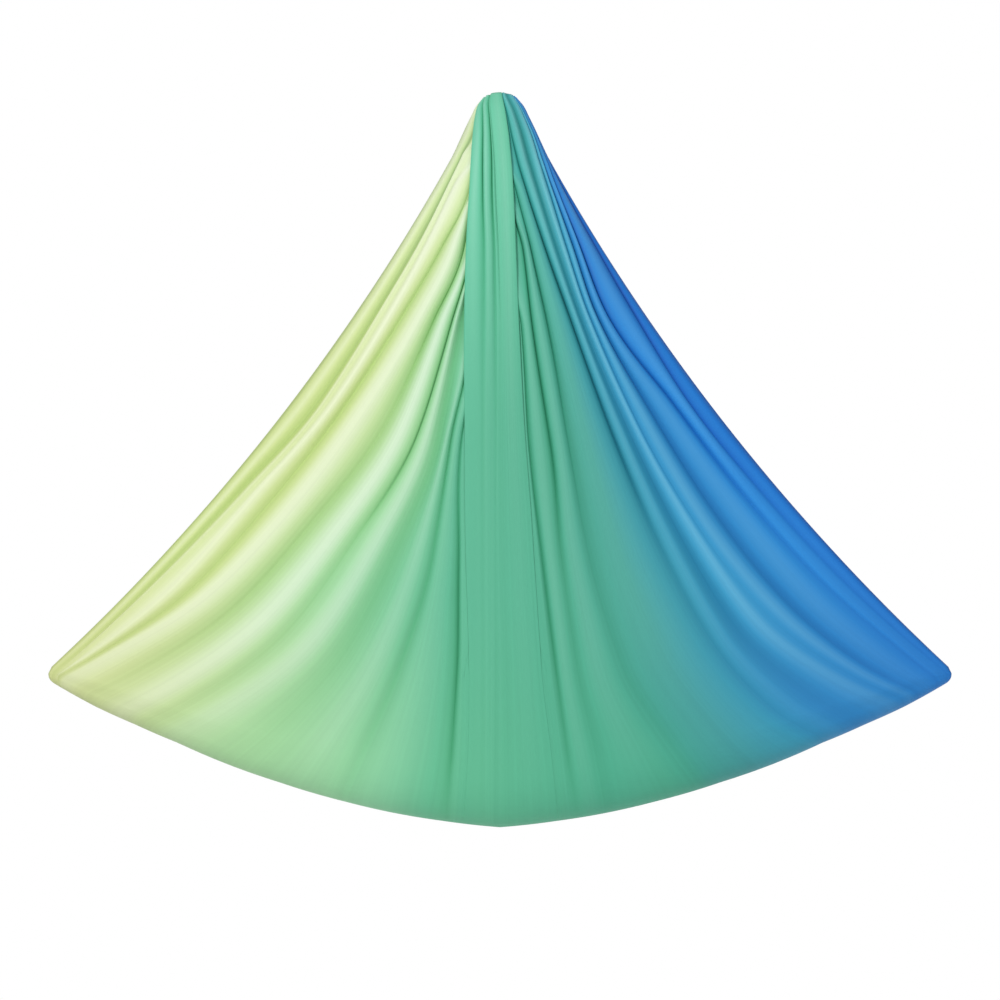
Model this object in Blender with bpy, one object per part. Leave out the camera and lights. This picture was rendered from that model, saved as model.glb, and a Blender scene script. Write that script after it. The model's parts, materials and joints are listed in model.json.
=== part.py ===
"""Aerial hammock: a length of nylon tricot on two carabiners and a bearing swivel.

Metres, +Z up, +X to the right, -Y to the front. The origin is the centre of the
swivel's top eye, by which the hammock hangs. The cloth's two ends are choked on the
carabiners, its head is drawn up over them as a hood, and the loop's bottom is held
spread at its two corners.
"""
import math

import bmesh
import bpy
from mathutils import Matrix, Vector

# Clearances and cutting
TOUCH_GAP = 0.0003
CUT_OVERRUN = 0.004

# Swivel: top eye and bearing housing
EYE_RADIUS = 0.021
EYE_BORE_RADIUS = 0.012
EYE_THICKNESS = 0.014
EYE_BEVEL = 0.0022
EYE_TO_CAVITY = 0.011
HOUSING_RADIUS = 0.020
CAVITY_RADIUS = 0.0158

# Swivel: stem, nut and thrust bearing
STEM_RADIUS = 0.005
STEM_PROUD = 0.0008
STEM_THREAD = 0.008
NUT_HEADROOM = 0.0016
NUT_HEIGHT = 0.007
NUT_ACROSS_CORNERS = 0.0185
NUT_SIDES = 6
RACE_THICKNESS = 0.003
RACE_BORE_GAP = 0.0008
BALL_RADIUS = 0.002
BALL_TRACK_DEPTH = 0.0006
BALL_PITCH_RADIUS = 0.0108
BALL_COUNT = 10
CAGE_THICKNESS = 0.0014
CAGE_HALF_WIDTH = 0.0032
COLLAR_PLUG_HEIGHT = 0.004
COLLAR_FLANGE_HEIGHT = 0.003
COLLAR_NOTCH_WIDTH = 0.004
COLLAR_NOTCH_DEPTH = 0.0025
COLLAR_NOTCH_COUNT = 4
SEAL_SECTION_RADIUS = 0.0012

# Swivel: lower eye
BOSS_RADIUS = 0.0125
BOSS_FLOOR = 0.003
LOWER_EYE_RADIUS = 0.0215
LOWER_EYE_BORE_RADIUS = 0.0135
LOWER_EYE_THICKNESS = 0.012

# Carabiners
BAR_RADIUS = 0.0052
CARABINER_ARC_RADIUS = 0.031
CARABINER_STRAIGHT = 0.050
CARABINER_TILT_DEG = 18.0
PIN_BELOW_ARC = 0.009
PIN_RADIUS = 0.0013
PIN_LENGTH = 0.009
TONGUE_THICKNESS = 0.004
TONGUE_RADIUS = 0.0040
TONGUE_TO_BAR = 0.0064
GATE_RADIUS = 0.0046
GATE_TOP_ABOVE_PIN = 0.0032
GATE_SLOT_DEPTH = 0.006
GATE_ABOVE_ARC = 0.010
GATE_END_GAP = 0.0008
NOSE_RADIUS = 0.0043
NOSE_LENGTH = 0.0075
SPRING_BORE_RADIUS = 0.0026
SPRING_BORE_DEPTH = 0.013
SPRING_COIL_RADIUS = 0.0019
SPRING_WIRE_RADIUS = 0.0004
SPRING_TURNS = 6
SLEEVE_RADIUS = 0.0074
SLEEVE_LENGTH = 0.016
SLEEVE_RIB_DEPTH = 0.0005
SLEEVE_RIB_COUNT = 16
SLEEVE_ABOVE_GATE_END = 0.005

# Cloth
CLOTH_THICKNESS = 0.001
FAN_RADIUS = 2.220
FAN_APEX_ABOVE_EYE = 0.113
CORNER_RADIUS = 0.040

# Choke knots and tails
KNOT_BAR_GAP = 0.0004
KNOT_HEIGHT_ABOVE_BAR = 0.026
KNOT_HEIGHT_BELOW_BAR = 0.042
KNOT_HALF_WIDTH = 0.030
KNOT_HALF_DEPTH = 0.025
TAIL_LENGTH = 0.190
TAIL_HALF_WIDTH = 0.050
TAIL_HALF_DEPTH = 0.020

# Facets
ROUND_SEGMENTS = 28
BAR_SEGMENTS = 10
SMALL_SEGMENTS = 8
ARC_STEPS = 12
KNOT_SEGMENTS = 27
SPRING_STEPS_PER_TURN = 8
SPRING_SIDES = 5
BALL_RINGS = 6
HALF_TURN_DEG = 180.0
FULL_TURN_DEG = 360.0

# Edges sharper than these are drawn as edges
METAL_EDGE_DEG = 35.0
SPRING_EDGE_DEG = 60.0
KNOT_EDGE_DEG = 70.0
CLOTH_EDGE_DEG = 75.0

# The fan's half angle grows evenly from its apex to the corners.
FAN_HALF_ANGLE_AT_APEX_DEG = 25.7
FAN_HALF_ANGLE_GROWTH_DEG = 11.1

# Fold lines across the front half, from the left edge to the right one. Each line has its
# place as a share of the fan's half angle, at the stations down the cloth, and its depth
# behind the ridges as a share of the deepest fold.
STATION_SHARES = (0.12, 0.30, 0.55, 0.80, 1.00)
FOLD_DEPTH = 0.030
FOLD_PLACE_SHARES = (
    (-1.00, -1.00, -1.00, -1.00, -1.00),
    (-0.88, -0.86, -0.90, -0.96, -0.97),
    (-0.79, -0.72, -0.81, -0.89, -0.93),
    (-0.73, -0.62, -0.74, -0.83, -0.88),
    (-0.68, -0.53, -0.61, -0.73, -0.80),
    (-0.65, -0.45, -0.52, -0.64, -0.72),
    (-0.62, -0.39, -0.43, -0.53, -0.62),
    (-0.60, -0.36, -0.35, -0.42, -0.48),
    (-0.58, -0.33, -0.20, -0.17, -0.19),
    (-0.54, -0.29, -0.14, -0.10, -0.09),
    (-0.33, -0.18, -0.08, -0.04, -0.03),
    (-0.22, -0.11, -0.03, 0.00, 0.01),
    (-0.11, -0.05, 0.01, 0.03, 0.04),
    (0.06, 0.06, 0.08, 0.09, 0.10),
    (0.22, 0.22, 0.24, 0.27, 0.28),
    (0.30, 0.30, 0.36, 0.40, 0.42),
    (0.38, 0.41, 0.50, 0.54, 0.56),
    (0.50, 0.51, 0.59, 0.67, 0.70),
    (0.61, 0.61, 0.70, 0.77, 0.80),
    (0.73, 0.71, 0.79, 0.85, 0.88),
    (0.84, 0.81, 0.87, 0.92, 0.95),
    (0.92, 0.90, 0.94, 0.965, 0.975),
    (1.00, 1.00, 1.00, 1.00, 1.00),
)
FOLD_DEPTH_SHARES = (
    (0.00, 0.00, 0.00, 0.00, 0.00),
    (0.00, 0.00, 0.00, 0.00, 0.00),
    (0.55, 0.85, 0.55, 0.25, 0.05),
    (0.00, 0.00, 0.00, 0.00, 0.00),
    (0.55, 0.90, 0.60, 0.28, 0.05),
    (0.05, 0.05, 0.05, 0.00, 0.00),
    (0.55, 1.00, 0.70, 0.32, 0.05),
    (0.10, 0.10, 0.00, 0.00, 0.00),
    (0.65, 1.00, 0.90, 0.40, 0.05),
    (0.00, 0.00, 0.00, 0.00, 0.00),
    (0.45, 0.25, 0.12, 0.05, 0.00),
    (0.05, 0.00, 0.00, 0.00, 0.00),
    (0.60, 0.22, 0.10, 0.05, 0.00),
    (0.00, 0.00, 0.00, 0.00, 0.00),
    (0.70, 0.75, 0.50, 0.20, 0.02),
    (0.10, 0.10, 0.05, 0.00, 0.00),
    (0.90, 0.90, 0.62, 0.25, 0.02),
    (0.00, 0.00, 0.00, 0.00, 0.00),
    (0.85, 0.90, 0.55, 0.25, 0.05),
    (0.00, 0.00, 0.00, 0.00, 0.00),
    (0.70, 0.75, 0.50, 0.25, 0.05),
    (0.00, 0.00, 0.00, 0.00, 0.00),
    (0.00, 0.00, 0.00, 0.00, 0.00),
)
# Lines after which a further column halves a wide panel.
HALVED_PANELS = (5, 9, 13, 17)

# The folds open out below the hood's rim: shares of the radius, then of the folds' depth.
HEAD_SHARES = (0.0392, 0.056, 0.070, 0.095, 0.135)
HEAD_FOLD_SHARES = (0.02, 0.10, 0.32, 0.70, 1.00)

# Rows from the hood's rim to the bottom fold, as shares of the fan's radius.
ROW_SHARES = (0.0392, 0.056, 0.070, 0.095, 0.135, 0.19, 0.27, 0.37, 0.49, 0.62, 0.75, 0.87)
BOTTOM_TURN_DEG = (0.0, 32.0, 62.0, 90.0)

# Half the pocket between the layers: shares of the radius, then sizes at the middle and
# at the side edges.
POCKET_SHARES = (0.0392, 0.056, 0.095, 0.135, 0.25, 0.45, 0.70, 0.90, 1.00)
POCKET_MIDDLE = (0.046, 0.068, 0.094, 0.112, 0.130, 0.146, 0.152, 0.150, 0.150)
POCKET_EDGE = (0.006, 0.006, 0.008, 0.012, 0.030, 0.055, 0.060, 0.035, 0.016)
POCKET_ROUNDNESS_SHARE = 0.62

# The dome that the hood makes at its rim: how much lower and wider its sides are.
DOME_SHARES = (0.0392, 0.056, 0.070, 0.095, 0.135)
DOME_DROP = (0.046, 0.030, 0.016, 0.004, 0.000)
DOME_HALF_WIDTH = (0.052, 0.074, 0.083, 0.098, 0.130)

# The hood's inner skirt starts at the knot and ends at the rim. Its rows' heights are
# shares of that rise, and the knot's own place is a share of the half pockets of each row,
# which are given beyond it at the middle and at the edges.
SKIRT_START_ABOVE_BASKET = 0.0153
SKIRT_RIM_HEIGHT = 0.008
SKIRT_RISE_SHARES = (0.0, 0.2777, 0.7055, 1.0)
SKIRT_KNOT_SHARES = (1.0, 0.6, 0.0, 0.0)
SKIRT_DROP = (0.000, 0.000, 0.020, 0.040)
SKIRT_HALF_WIDTH = (0.019, 0.032, 0.042, 0.040)
SKIRT_MIDDLE = (0.016, 0.021, 0.036, 0.033)
SKIRT_EDGE = (0.010, 0.013, 0.012, 0.008)
SKIRT_FOLD_SHARE = 0.04

# The knot's outline from its top to its tail, as shares of its height and half width, and
# the pleats round it.
KNOT_HEIGHT_SHARES = (1.00, 0.94, 0.84, 0.72, 0.60, 0.50, 0.43, 0.36, 0.28, 0.20, 0.13, 0.06, 0.00)
KNOT_WIDTH_SHARES = (0.20, 0.56, 0.84, 0.98, 1.00, 0.90, 0.78, 0.92, 0.99, 0.90, 0.68, 0.54, 0.48)
KNOT_PLEAT_COUNT = 9
KNOT_PLEAT_SHARE = 0.05
KNOT_TWIST_DEG = 70.0
TAIL_PLEAT_COUNT = 6
TAIL_PLEAT_SHARE = 0.22
TAIL_ROWS = 8
TAIL_FLARE_SHARE = 0.85
TAIL_STRAIGHTEN_SHARES = 3

# Heights down the swivel
CAVITY_TOP = -(EYE_BORE_RADIUS + EYE_TO_CAVITY)
NUT_TOP = CAVITY_TOP - NUT_HEADROOM
NUT_BOTTOM = NUT_TOP - NUT_HEIGHT
UPPER_RACE_TOP = NUT_BOTTOM - TOUCH_GAP
UPPER_RACE_BOTTOM = UPPER_RACE_TOP - RACE_THICKNESS
BALL_CENTRE = UPPER_RACE_BOTTOM + BALL_TRACK_DEPTH - TOUCH_GAP - BALL_RADIUS
LOWER_RACE_TOP = BALL_CENTRE - TOUCH_GAP - BALL_RADIUS + BALL_TRACK_DEPTH
LOWER_RACE_BOTTOM = LOWER_RACE_TOP - RACE_THICKNESS
COLLAR_TOP = LOWER_RACE_BOTTOM - TOUCH_GAP
COLLAR_FLANGE_TOP = COLLAR_TOP - COLLAR_PLUG_HEIGHT
COLLAR_BOTTOM = COLLAR_FLANGE_TOP - COLLAR_FLANGE_HEIGHT
HOUSING_BOTTOM = COLLAR_FLANGE_TOP + TOUCH_GAP
SEAL_CENTRE = COLLAR_BOTTOM - TOUCH_GAP - SEAL_SECTION_RADIUS
BOSS_TOP = SEAL_CENTRE - SEAL_SECTION_RADIUS - TOUCH_GAP
STEM_BOTTOM = BOSS_TOP - STEM_THREAD
LOWER_EYE_CENTRE = STEM_BOTTOM - BOSS_FLOOR - LOWER_EYE_BORE_RADIUS

# The carabiners' top bars lie side by side on the lower eye's bore.
BAR_OFFSET = BAR_RADIUS + TOUCH_GAP / 2
BAR_DROP = CARABINER_ARC_RADIUS - math.sqrt(CARABINER_ARC_RADIUS ** 2 - (LOWER_EYE_THICKNESS / 2) ** 2)
BAR_REACH = LOWER_EYE_BORE_RADIUS - BAR_RADIUS - BAR_DROP - TOUCH_GAP * 2
BAR_HEIGHT = LOWER_EYE_CENTRE - math.sqrt(BAR_REACH ** 2 - BAR_OFFSET ** 2)

# Heights in a carabiner's own frame, whose origin is its top bar
UPPER_ARC_CENTRE = -CARABINER_ARC_RADIUS
LOWER_ARC_CENTRE = UPPER_ARC_CENTRE - CARABINER_STRAIGHT
BASKET_HEIGHT = LOWER_ARC_CENTRE - CARABINER_ARC_RADIUS
PIN_HEIGHT = UPPER_ARC_CENTRE - PIN_BELOW_ARC
GATE_BOTTOM = LOWER_ARC_CENTRE + GATE_ABOVE_ARC
NOSE_TOP = GATE_BOTTOM - GATE_END_GAP
NOSE_BOTTOM = NOSE_TOP - NOSE_LENGTH
SLEEVE_BOTTOM = GATE_BOTTOM + SLEEVE_ABOVE_GATE_END
KNOT_TOP = BASKET_HEIGHT + KNOT_HEIGHT_ABOVE_BAR
KNOT_BOTTOM = BASKET_HEIGHT - KNOT_HEIGHT_BELOW_BAR


def clear_scene():
    """Remove the scene's objects."""
    for obj in list(bpy.data.objects):
        bpy.data.objects.remove(obj, do_unlink=True)


def finish(name, colour, roughness, metallic):
    """Return a plain Principled material."""
    material = bpy.data.materials.new(name)
    material.use_nodes = True
    shader = material.node_tree.nodes["Principled BSDF"]
    shader.inputs["Base Color"].default_value = (*colour, 1.0)
    shader.inputs["Roughness"].default_value = roughness
    shader.inputs["Metallic"].default_value = metallic
    return material


FINISHES = {
    "anodised": ((0.04, 0.05, 0.06), 0.35, 1.0),
    "steel": ((0.55, 0.56, 0.58), 0.28, 1.0),
    "bearing_steel": ((0.70, 0.70, 0.72), 0.15, 1.0),
    "brass": ((0.72, 0.52, 0.22), 0.3, 1.0),
    "rubber": ((0.02, 0.02, 0.02), 0.8, 0.0),
    "lime_cloth": ((0.62, 0.76, 0.42), 0.6, 0.0),
    "green_cloth": ((0.12, 0.50, 0.30), 0.6, 0.0),
    "blue_cloth": ((0.03, 0.20, 0.55), 0.6, 0.0),
}


def add_object(name, mesh_builder, finish_name, smooth_angle_deg=METAL_EDGE_DEG):
    """Turn a bmesh into a named object with outward faces and its own material."""
    bmesh.ops.recalc_face_normals(mesh_builder, faces=mesh_builder.faces)
    mesh = bpy.data.meshes.new(name)
    mesh_builder.to_mesh(mesh)
    mesh_builder.free()
    mesh.shade_smooth()
    mesh.set_sharp_from_angle(angle=math.radians(smooth_angle_deg))
    obj = bpy.data.objects.new(name, mesh)
    bpy.context.scene.collection.objects.link(obj)
    if finish_name:
        mesh.materials.append(finish(name, *FINISHES[finish_name]))
    return obj


def grid_body(rows, closed_round):
    """Bridge rows of points into one closed body, with a cap at each end row."""
    body = bmesh.new()
    rings = [[body.verts.new(point) for point in row] for row in rows]
    count = len(rings[0])
    last = count if closed_round else count - 1
    for lower, upper in zip(rings, rings[1:]):
        for index in range(last):
            following = (index + 1) % count
            body.faces.new((lower[index], lower[following], upper[following], upper[index]))
    if closed_round:
        body.faces.new(list(reversed(rings[0])))
        body.faces.new(rings[-1])
    return body


def turned(profile, segments=ROUND_SEGMENTS):
    """Turn a closed outline of (radius, height) points round Z. Points on the axis merge."""
    body = bmesh.new()
    rings = []
    for radius, height in profile:
        if radius == 0:
            rings.append([body.verts.new((0.0, 0.0, height))] * segments)
            continue
        ring = []
        for index in range(segments):
            angle = math.tau * index / segments
            ring.append(body.verts.new((radius * math.cos(angle), radius * math.sin(angle), height)))
        rings.append(ring)
    pairs = list(zip(rings, rings[1:] + rings[:1]))
    for first, second in pairs:
        for index in range(segments):
            following = (index + 1) % segments
            corners = [first[index], first[following], second[following], second[index]]
            unique = list(dict.fromkeys(corners))
            if len(unique) > 2:
                body.faces.new(unique)
    return body


def tube(points, radii, segments=BAR_SEGMENTS):
    """Sweep a round section along a path, with a flat cap at each end."""
    path = [Vector(point) for point in points]
    tangent = (path[1] - path[0]).normalized()
    side = tangent.orthogonal().normalized()
    rows = []
    for index, point in enumerate(path):
        ahead = path[min(index + 1, len(path) - 1)]
        behind = path[max(index - 1, 0)]
        new_tangent = (ahead - behind).normalized()
        side = tangent.rotation_difference(new_tangent) @ side
        tangent = new_tangent
        normal = tangent.cross(side)
        row = []
        for step in range(segments):
            angle = math.tau * step / segments
            row.append(point + (side * math.cos(angle) + normal * math.sin(angle)) * radii[index])
        rows.append(row)
    return grid_body(rows, closed_round=True)


def block(low, high):
    """Return a box between two corners."""
    body = bmesh.new()
    bmesh.ops.create_cube(body, size=1.0)
    size = Vector(high) - Vector(low)
    centre = (Vector(high) + Vector(low)) / 2
    bmesh.ops.transform(body, matrix=Matrix.Translation(centre) @ Matrix.Diagonal((*size, 1.0)),
                        verts=body.verts)
    return body


def cylinder(radius, low, high, axis="Z", segments=ROUND_SEGMENTS):
    """Return a cylinder along one axis, between two places on it."""
    body = turned([(0.0, low), (radius, low), (radius, high), (0.0, high)], segments)
    turns = {"X": Matrix.Rotation(math.pi / 2, 4, "Y"), "Y": Matrix.Rotation(-math.pi / 2, 4, "X")}
    if axis in turns:
        bmesh.ops.transform(body, matrix=turns[axis], verts=body.verts)
    return body


def combine(target, tool_body, operation):
    """Cut the target by a tool, or join the tool to it, and drop the tool."""
    tool = add_object("tool", tool_body, None)
    tool.hide_render = True
    tool.display_type = "WIRE"
    modifier = target.modifiers.new(operation.lower(), "BOOLEAN")
    modifier.operation = operation
    modifier.solver = "EXACT"
    modifier.object = tool
    bpy.context.view_layer.update()
    evaluated = target.evaluated_get(bpy.context.evaluated_depsgraph_get())
    result = bpy.data.meshes.new_from_object(evaluated)
    target.modifiers.clear()
    old_mesh = target.data
    target.data = result
    bpy.data.meshes.remove(old_mesh)
    bpy.data.objects.remove(tool, do_unlink=True)
    result.shade_smooth()
    result.set_sharp_from_angle(angle=math.radians(METAL_EDGE_DEG))


def interpolate(place, places, values):
    """Read a smooth value between listed ones."""
    if place <= places[0]:
        return values[0]
    for index in range(1, len(places)):
        if place <= places[index]:
            share = (place - places[index - 1]) / (places[index] - places[index - 1])
            share = share * share * (3 - 2 * share)
            return values[index - 1] + (values[index] - values[index - 1]) * share
    return values[-1]


def build_top_eye():
    """Forged eye with the bearing housing below it, open at the bottom."""
    eye = add_object("swivel_top_eye", cylinder(
        EYE_RADIUS, -EYE_THICKNESS / 2, EYE_THICKNESS / 2, "Y"), "anodised")
    housing_top = -EYE_BORE_RADIUS - (EYE_RADIUS - EYE_BORE_RADIUS) / 2
    shoulder = HOUSING_RADIUS - EYE_BEVEL
    combine(eye, turned([(0.0, HOUSING_BOTTOM), (HOUSING_RADIUS, HOUSING_BOTTOM),
                         (HOUSING_RADIUS, housing_top - EYE_BEVEL), (shoulder, housing_top),
                         (0.0, housing_top)]), "UNION")
    combine(eye, cylinder(EYE_BORE_RADIUS, -HOUSING_RADIUS - CUT_OVERRUN,
                          HOUSING_RADIUS + CUT_OVERRUN, "Y"), "DIFFERENCE")
    combine(eye, cylinder(CAVITY_RADIUS, HOUSING_BOTTOM - CUT_OVERRUN, CAVITY_TOP), "DIFFERENCE")


def race_profile(track_face, back_face):
    """Outline of a thrust race whose ball track is hollowed into one face."""
    inner = STEM_RADIUS + RACE_BORE_GAP
    outer = CAVITY_RADIUS - TOUCH_GAP
    inward = 1 if back_face > track_face else -1
    track_half = math.sqrt(BALL_RADIUS ** 2 - (BALL_RADIUS - BALL_TRACK_DEPTH) ** 2) + TOUCH_GAP
    return [(inner, back_face), (outer, back_face), (outer, track_face),
            (BALL_PITCH_RADIUS + track_half, track_face),
            (BALL_PITCH_RADIUS + track_half / 2, track_face + inward * BALL_TRACK_DEPTH),
            (BALL_PITCH_RADIUS - track_half / 2, track_face + inward * BALL_TRACK_DEPTH),
            (BALL_PITCH_RADIUS - track_half, track_face), (inner, track_face)]


def build_bearing():
    """Collar, races, ball cage, stem, nut and dust seal."""
    collar_bore = STEM_RADIUS + RACE_BORE_GAP
    plug_radius = CAVITY_RADIUS - TOUCH_GAP
    collar = add_object("bearing_collar", turned([
        (collar_bore, COLLAR_TOP), (plug_radius, COLLAR_TOP), (plug_radius, COLLAR_FLANGE_TOP),
        (HOUSING_RADIUS, COLLAR_FLANGE_TOP), (HOUSING_RADIUS, COLLAR_BOTTOM),
        (collar_bore, COLLAR_BOTTOM)]), "steel")
    for index in range(COLLAR_NOTCH_COUNT):
        notch = block((HOUSING_RADIUS - COLLAR_NOTCH_DEPTH, -COLLAR_NOTCH_WIDTH / 2,
                       COLLAR_BOTTOM - CUT_OVERRUN),
                      (HOUSING_RADIUS + CUT_OVERRUN, COLLAR_NOTCH_WIDTH / 2,
                       COLLAR_FLANGE_TOP + CUT_OVERRUN))
        turn = Matrix.Rotation(math.pi * (index + index + 1) / COLLAR_NOTCH_COUNT, 4, "Z")
        bmesh.ops.transform(notch, matrix=turn, verts=notch.verts)
        combine(collar, notch, "DIFFERENCE")
    add_object("lower_race", turned(race_profile(LOWER_RACE_TOP, LOWER_RACE_BOTTOM)),
               "bearing_steel")
    add_object("upper_race", turned(race_profile(UPPER_RACE_BOTTOM, UPPER_RACE_TOP)),
               "bearing_steel")
    build_ball_cage()
    add_object("swivel_stem", cylinder(STEM_RADIUS, STEM_BOTTOM + TOUCH_GAP,
                                       NUT_TOP + STEM_PROUD), "steel")
    nut = add_object("stem_nut", cylinder(NUT_ACROSS_CORNERS / 2, NUT_BOTTOM, NUT_TOP,
                                          segments=NUT_SIDES), "steel")
    combine(nut, cylinder(STEM_RADIUS + TOUCH_GAP, NUT_BOTTOM - CUT_OVERRUN,
                          NUT_TOP + CUT_OVERRUN), "DIFFERENCE")
    seal_radius = STEM_RADIUS + TOUCH_GAP + SEAL_SECTION_RADIUS
    section = []
    for index in range(SMALL_SEGMENTS):
        angle = math.tau * index / SMALL_SEGMENTS
        section.append((seal_radius + SEAL_SECTION_RADIUS * math.cos(angle),
                        SEAL_CENTRE + SEAL_SECTION_RADIUS * math.sin(angle)))
    add_object("dust_seal", turned(section), "rubber")


def build_ball_cage():
    """Flat cage ring with its balls."""
    half = CAGE_THICKNESS / 2
    inner = BALL_PITCH_RADIUS - CAGE_HALF_WIDTH
    outer = BALL_PITCH_RADIUS + CAGE_HALF_WIDTH
    cage = add_object("ball_cage", turned([
        (inner, BALL_CENTRE - half), (outer, BALL_CENTRE - half),
        (outer, BALL_CENTRE + half), (inner, BALL_CENTRE + half)]), "brass")
    for index in range(BALL_COUNT):
        angle = math.tau * index / BALL_COUNT
        ball = bmesh.new()
        bmesh.ops.create_uvsphere(ball, u_segments=SMALL_SEGMENTS, v_segments=BALL_RINGS,
                                  radius=BALL_RADIUS)
        centre = (BALL_PITCH_RADIUS * math.cos(angle), BALL_PITCH_RADIUS * math.sin(angle),
                  BALL_CENTRE)
        bmesh.ops.transform(ball, matrix=Matrix.Translation(centre), verts=ball.verts)
        combine(cage, ball, "UNION")


def build_lower_eye():
    """Lower eye, with a threaded boss for the stem and a bore for both carabiners."""
    half = LOWER_EYE_THICKNESS / 2
    ring = cylinder(LOWER_EYE_RADIUS, -half, half, "X")
    bmesh.ops.transform(ring, matrix=Matrix.Translation((0.0, 0.0, LOWER_EYE_CENTRE)),
                        verts=ring.verts)
    eye = add_object("swivel_lower_eye", ring, "anodised")
    boss_bottom = LOWER_EYE_CENTRE + LOWER_EYE_BORE_RADIUS - EYE_BEVEL
    combine(eye, turned([(0.0, boss_bottom), (BOSS_RADIUS, boss_bottom),
                         (BOSS_RADIUS, BOSS_TOP - EYE_BEVEL / 2),
                         (BOSS_RADIUS - EYE_BEVEL / 2, BOSS_TOP), (0.0, BOSS_TOP)]), "UNION")
    bore = cylinder(LOWER_EYE_BORE_RADIUS, -BOSS_RADIUS - CUT_OVERRUN,
                    BOSS_RADIUS + CUT_OVERRUN, "X")
    bmesh.ops.transform(bore, matrix=Matrix.Translation((0.0, 0.0, LOWER_EYE_CENTRE)),
                        verts=bore.verts)
    combine(eye, bore, "DIFFERENCE")
    combine(eye, cylinder(STEM_RADIUS + TOUCH_GAP, STEM_BOTTOM, BOSS_TOP + CUT_OVERRUN),
            "DIFFERENCE")


def arc_points(centre_height, start_deg, end_deg, steps=ARC_STEPS):
    """Points along a carabiner's end arc, angles measured from +X."""
    points = []
    for index in range(steps + 1):
        angle = math.radians(start_deg + (end_deg - start_deg) * index / steps)
        points.append((CARABINER_ARC_RADIUS * math.cos(angle), 0.0,
                       centre_height + CARABINER_ARC_RADIUS * math.sin(angle)))
    return points


def carabiner_frame(front):
    """Matrix from a carabiner's own frame to the world, tilted about its top bar."""
    side = -1 if front else 1
    tilt = Matrix.Rotation(math.radians(CARABINER_TILT_DEG * side), 4, "X")
    turn = Matrix.Identity(4) if front else Matrix.Rotation(math.pi, 4, "Z")
    return Matrix.Translation((0.0, side * BAR_OFFSET, BAR_HEIGHT)) @ tilt @ turn


def place(obj, matrix):
    """Move an object's mesh by a matrix, and keep its own origin at the world's."""
    obj.data.transform(matrix)
    obj.data.update()


def carabiner_body(name):
    """Bent bar from the hinge tongue round to the nose."""
    shoulder_height = PIN_HEIGHT + TONGUE_TO_BAR
    gate_x = CARABINER_ARC_RADIUS
    path = [(gate_x, 0.0, shoulder_height)]
    path += arc_points(UPPER_ARC_CENTRE, 0.0, HALF_TURN_DEG)
    path += arc_points(LOWER_ARC_CENTRE, HALF_TURN_DEG, FULL_TURN_DEG)
    path.append((gate_x, 0.0, NOSE_BOTTOM))
    radii = [BAR_RADIUS] * len(path)
    path += [(gate_x, 0.0, NOSE_BOTTOM + TOUCH_GAP), (gate_x, 0.0, NOSE_TOP)]
    radii += [NOSE_RADIUS, NOSE_RADIUS]
    body = add_object(name, tube(path, radii), "steel")
    tongue = block((gate_x - TONGUE_RADIUS, -TONGUE_THICKNESS / 2, PIN_HEIGHT),
                   (gate_x + TONGUE_RADIUS, TONGUE_THICKNESS / 2,
                    shoulder_height + TONGUE_TO_BAR / 2))
    combine(body, tongue, "UNION")
    round_end = cylinder(TONGUE_RADIUS, -TONGUE_THICKNESS / 2, TONGUE_THICKNESS / 2, "Y")
    bmesh.ops.transform(round_end, matrix=Matrix.Translation((gate_x, 0.0, PIN_HEIGHT)),
                        verts=round_end.verts)
    combine(body, round_end, "UNION")
    combine(body, pin_hole(), "DIFFERENCE")
    return body


def pin_hole():
    """Cutter for the gate's pivot pin."""
    hole = cylinder(PIN_RADIUS + TOUCH_GAP, -PIN_LENGTH / 2 - CUT_OVERRUN,
                    PIN_LENGTH / 2 + CUT_OVERRUN, "Y", SMALL_SEGMENTS)
    bmesh.ops.transform(hole, matrix=Matrix.Translation((CARABINER_ARC_RADIUS, 0.0, PIN_HEIGHT)),
                        verts=hole.verts)
    return hole


def carabiner_gate(name):
    """Round gate, forked round the hinge tongue and bored for its spring."""
    top = PIN_HEIGHT + GATE_TOP_ABOVE_PIN
    gate = add_object(name, cylinder(GATE_RADIUS, GATE_BOTTOM, top, segments=BAR_SEGMENTS * 2),
                      "steel")
    place(gate, Matrix.Translation((CARABINER_ARC_RADIUS, 0.0, 0.0)))
    slot_half = TONGUE_THICKNESS / 2 + TOUCH_GAP
    slot_bottom = PIN_HEIGHT - GATE_SLOT_DEPTH
    slot = block((CARABINER_ARC_RADIUS - GATE_RADIUS - CUT_OVERRUN, -slot_half, slot_bottom),
                 (CARABINER_ARC_RADIUS + GATE_RADIUS + CUT_OVERRUN, slot_half,
                  top + CUT_OVERRUN))
    combine(gate, slot, "DIFFERENCE")
    combine(gate, pin_hole(), "DIFFERENCE")
    bore = cylinder(SPRING_BORE_RADIUS, slot_bottom - SPRING_BORE_DEPTH,
                    slot_bottom + CUT_OVERRUN, segments=SMALL_SEGMENTS)
    bmesh.ops.transform(bore, matrix=Matrix.Translation((CARABINER_ARC_RADIUS, 0.0, 0.0)),
                        verts=bore.verts)
    combine(gate, bore, "DIFFERENCE")
    return gate


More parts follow.
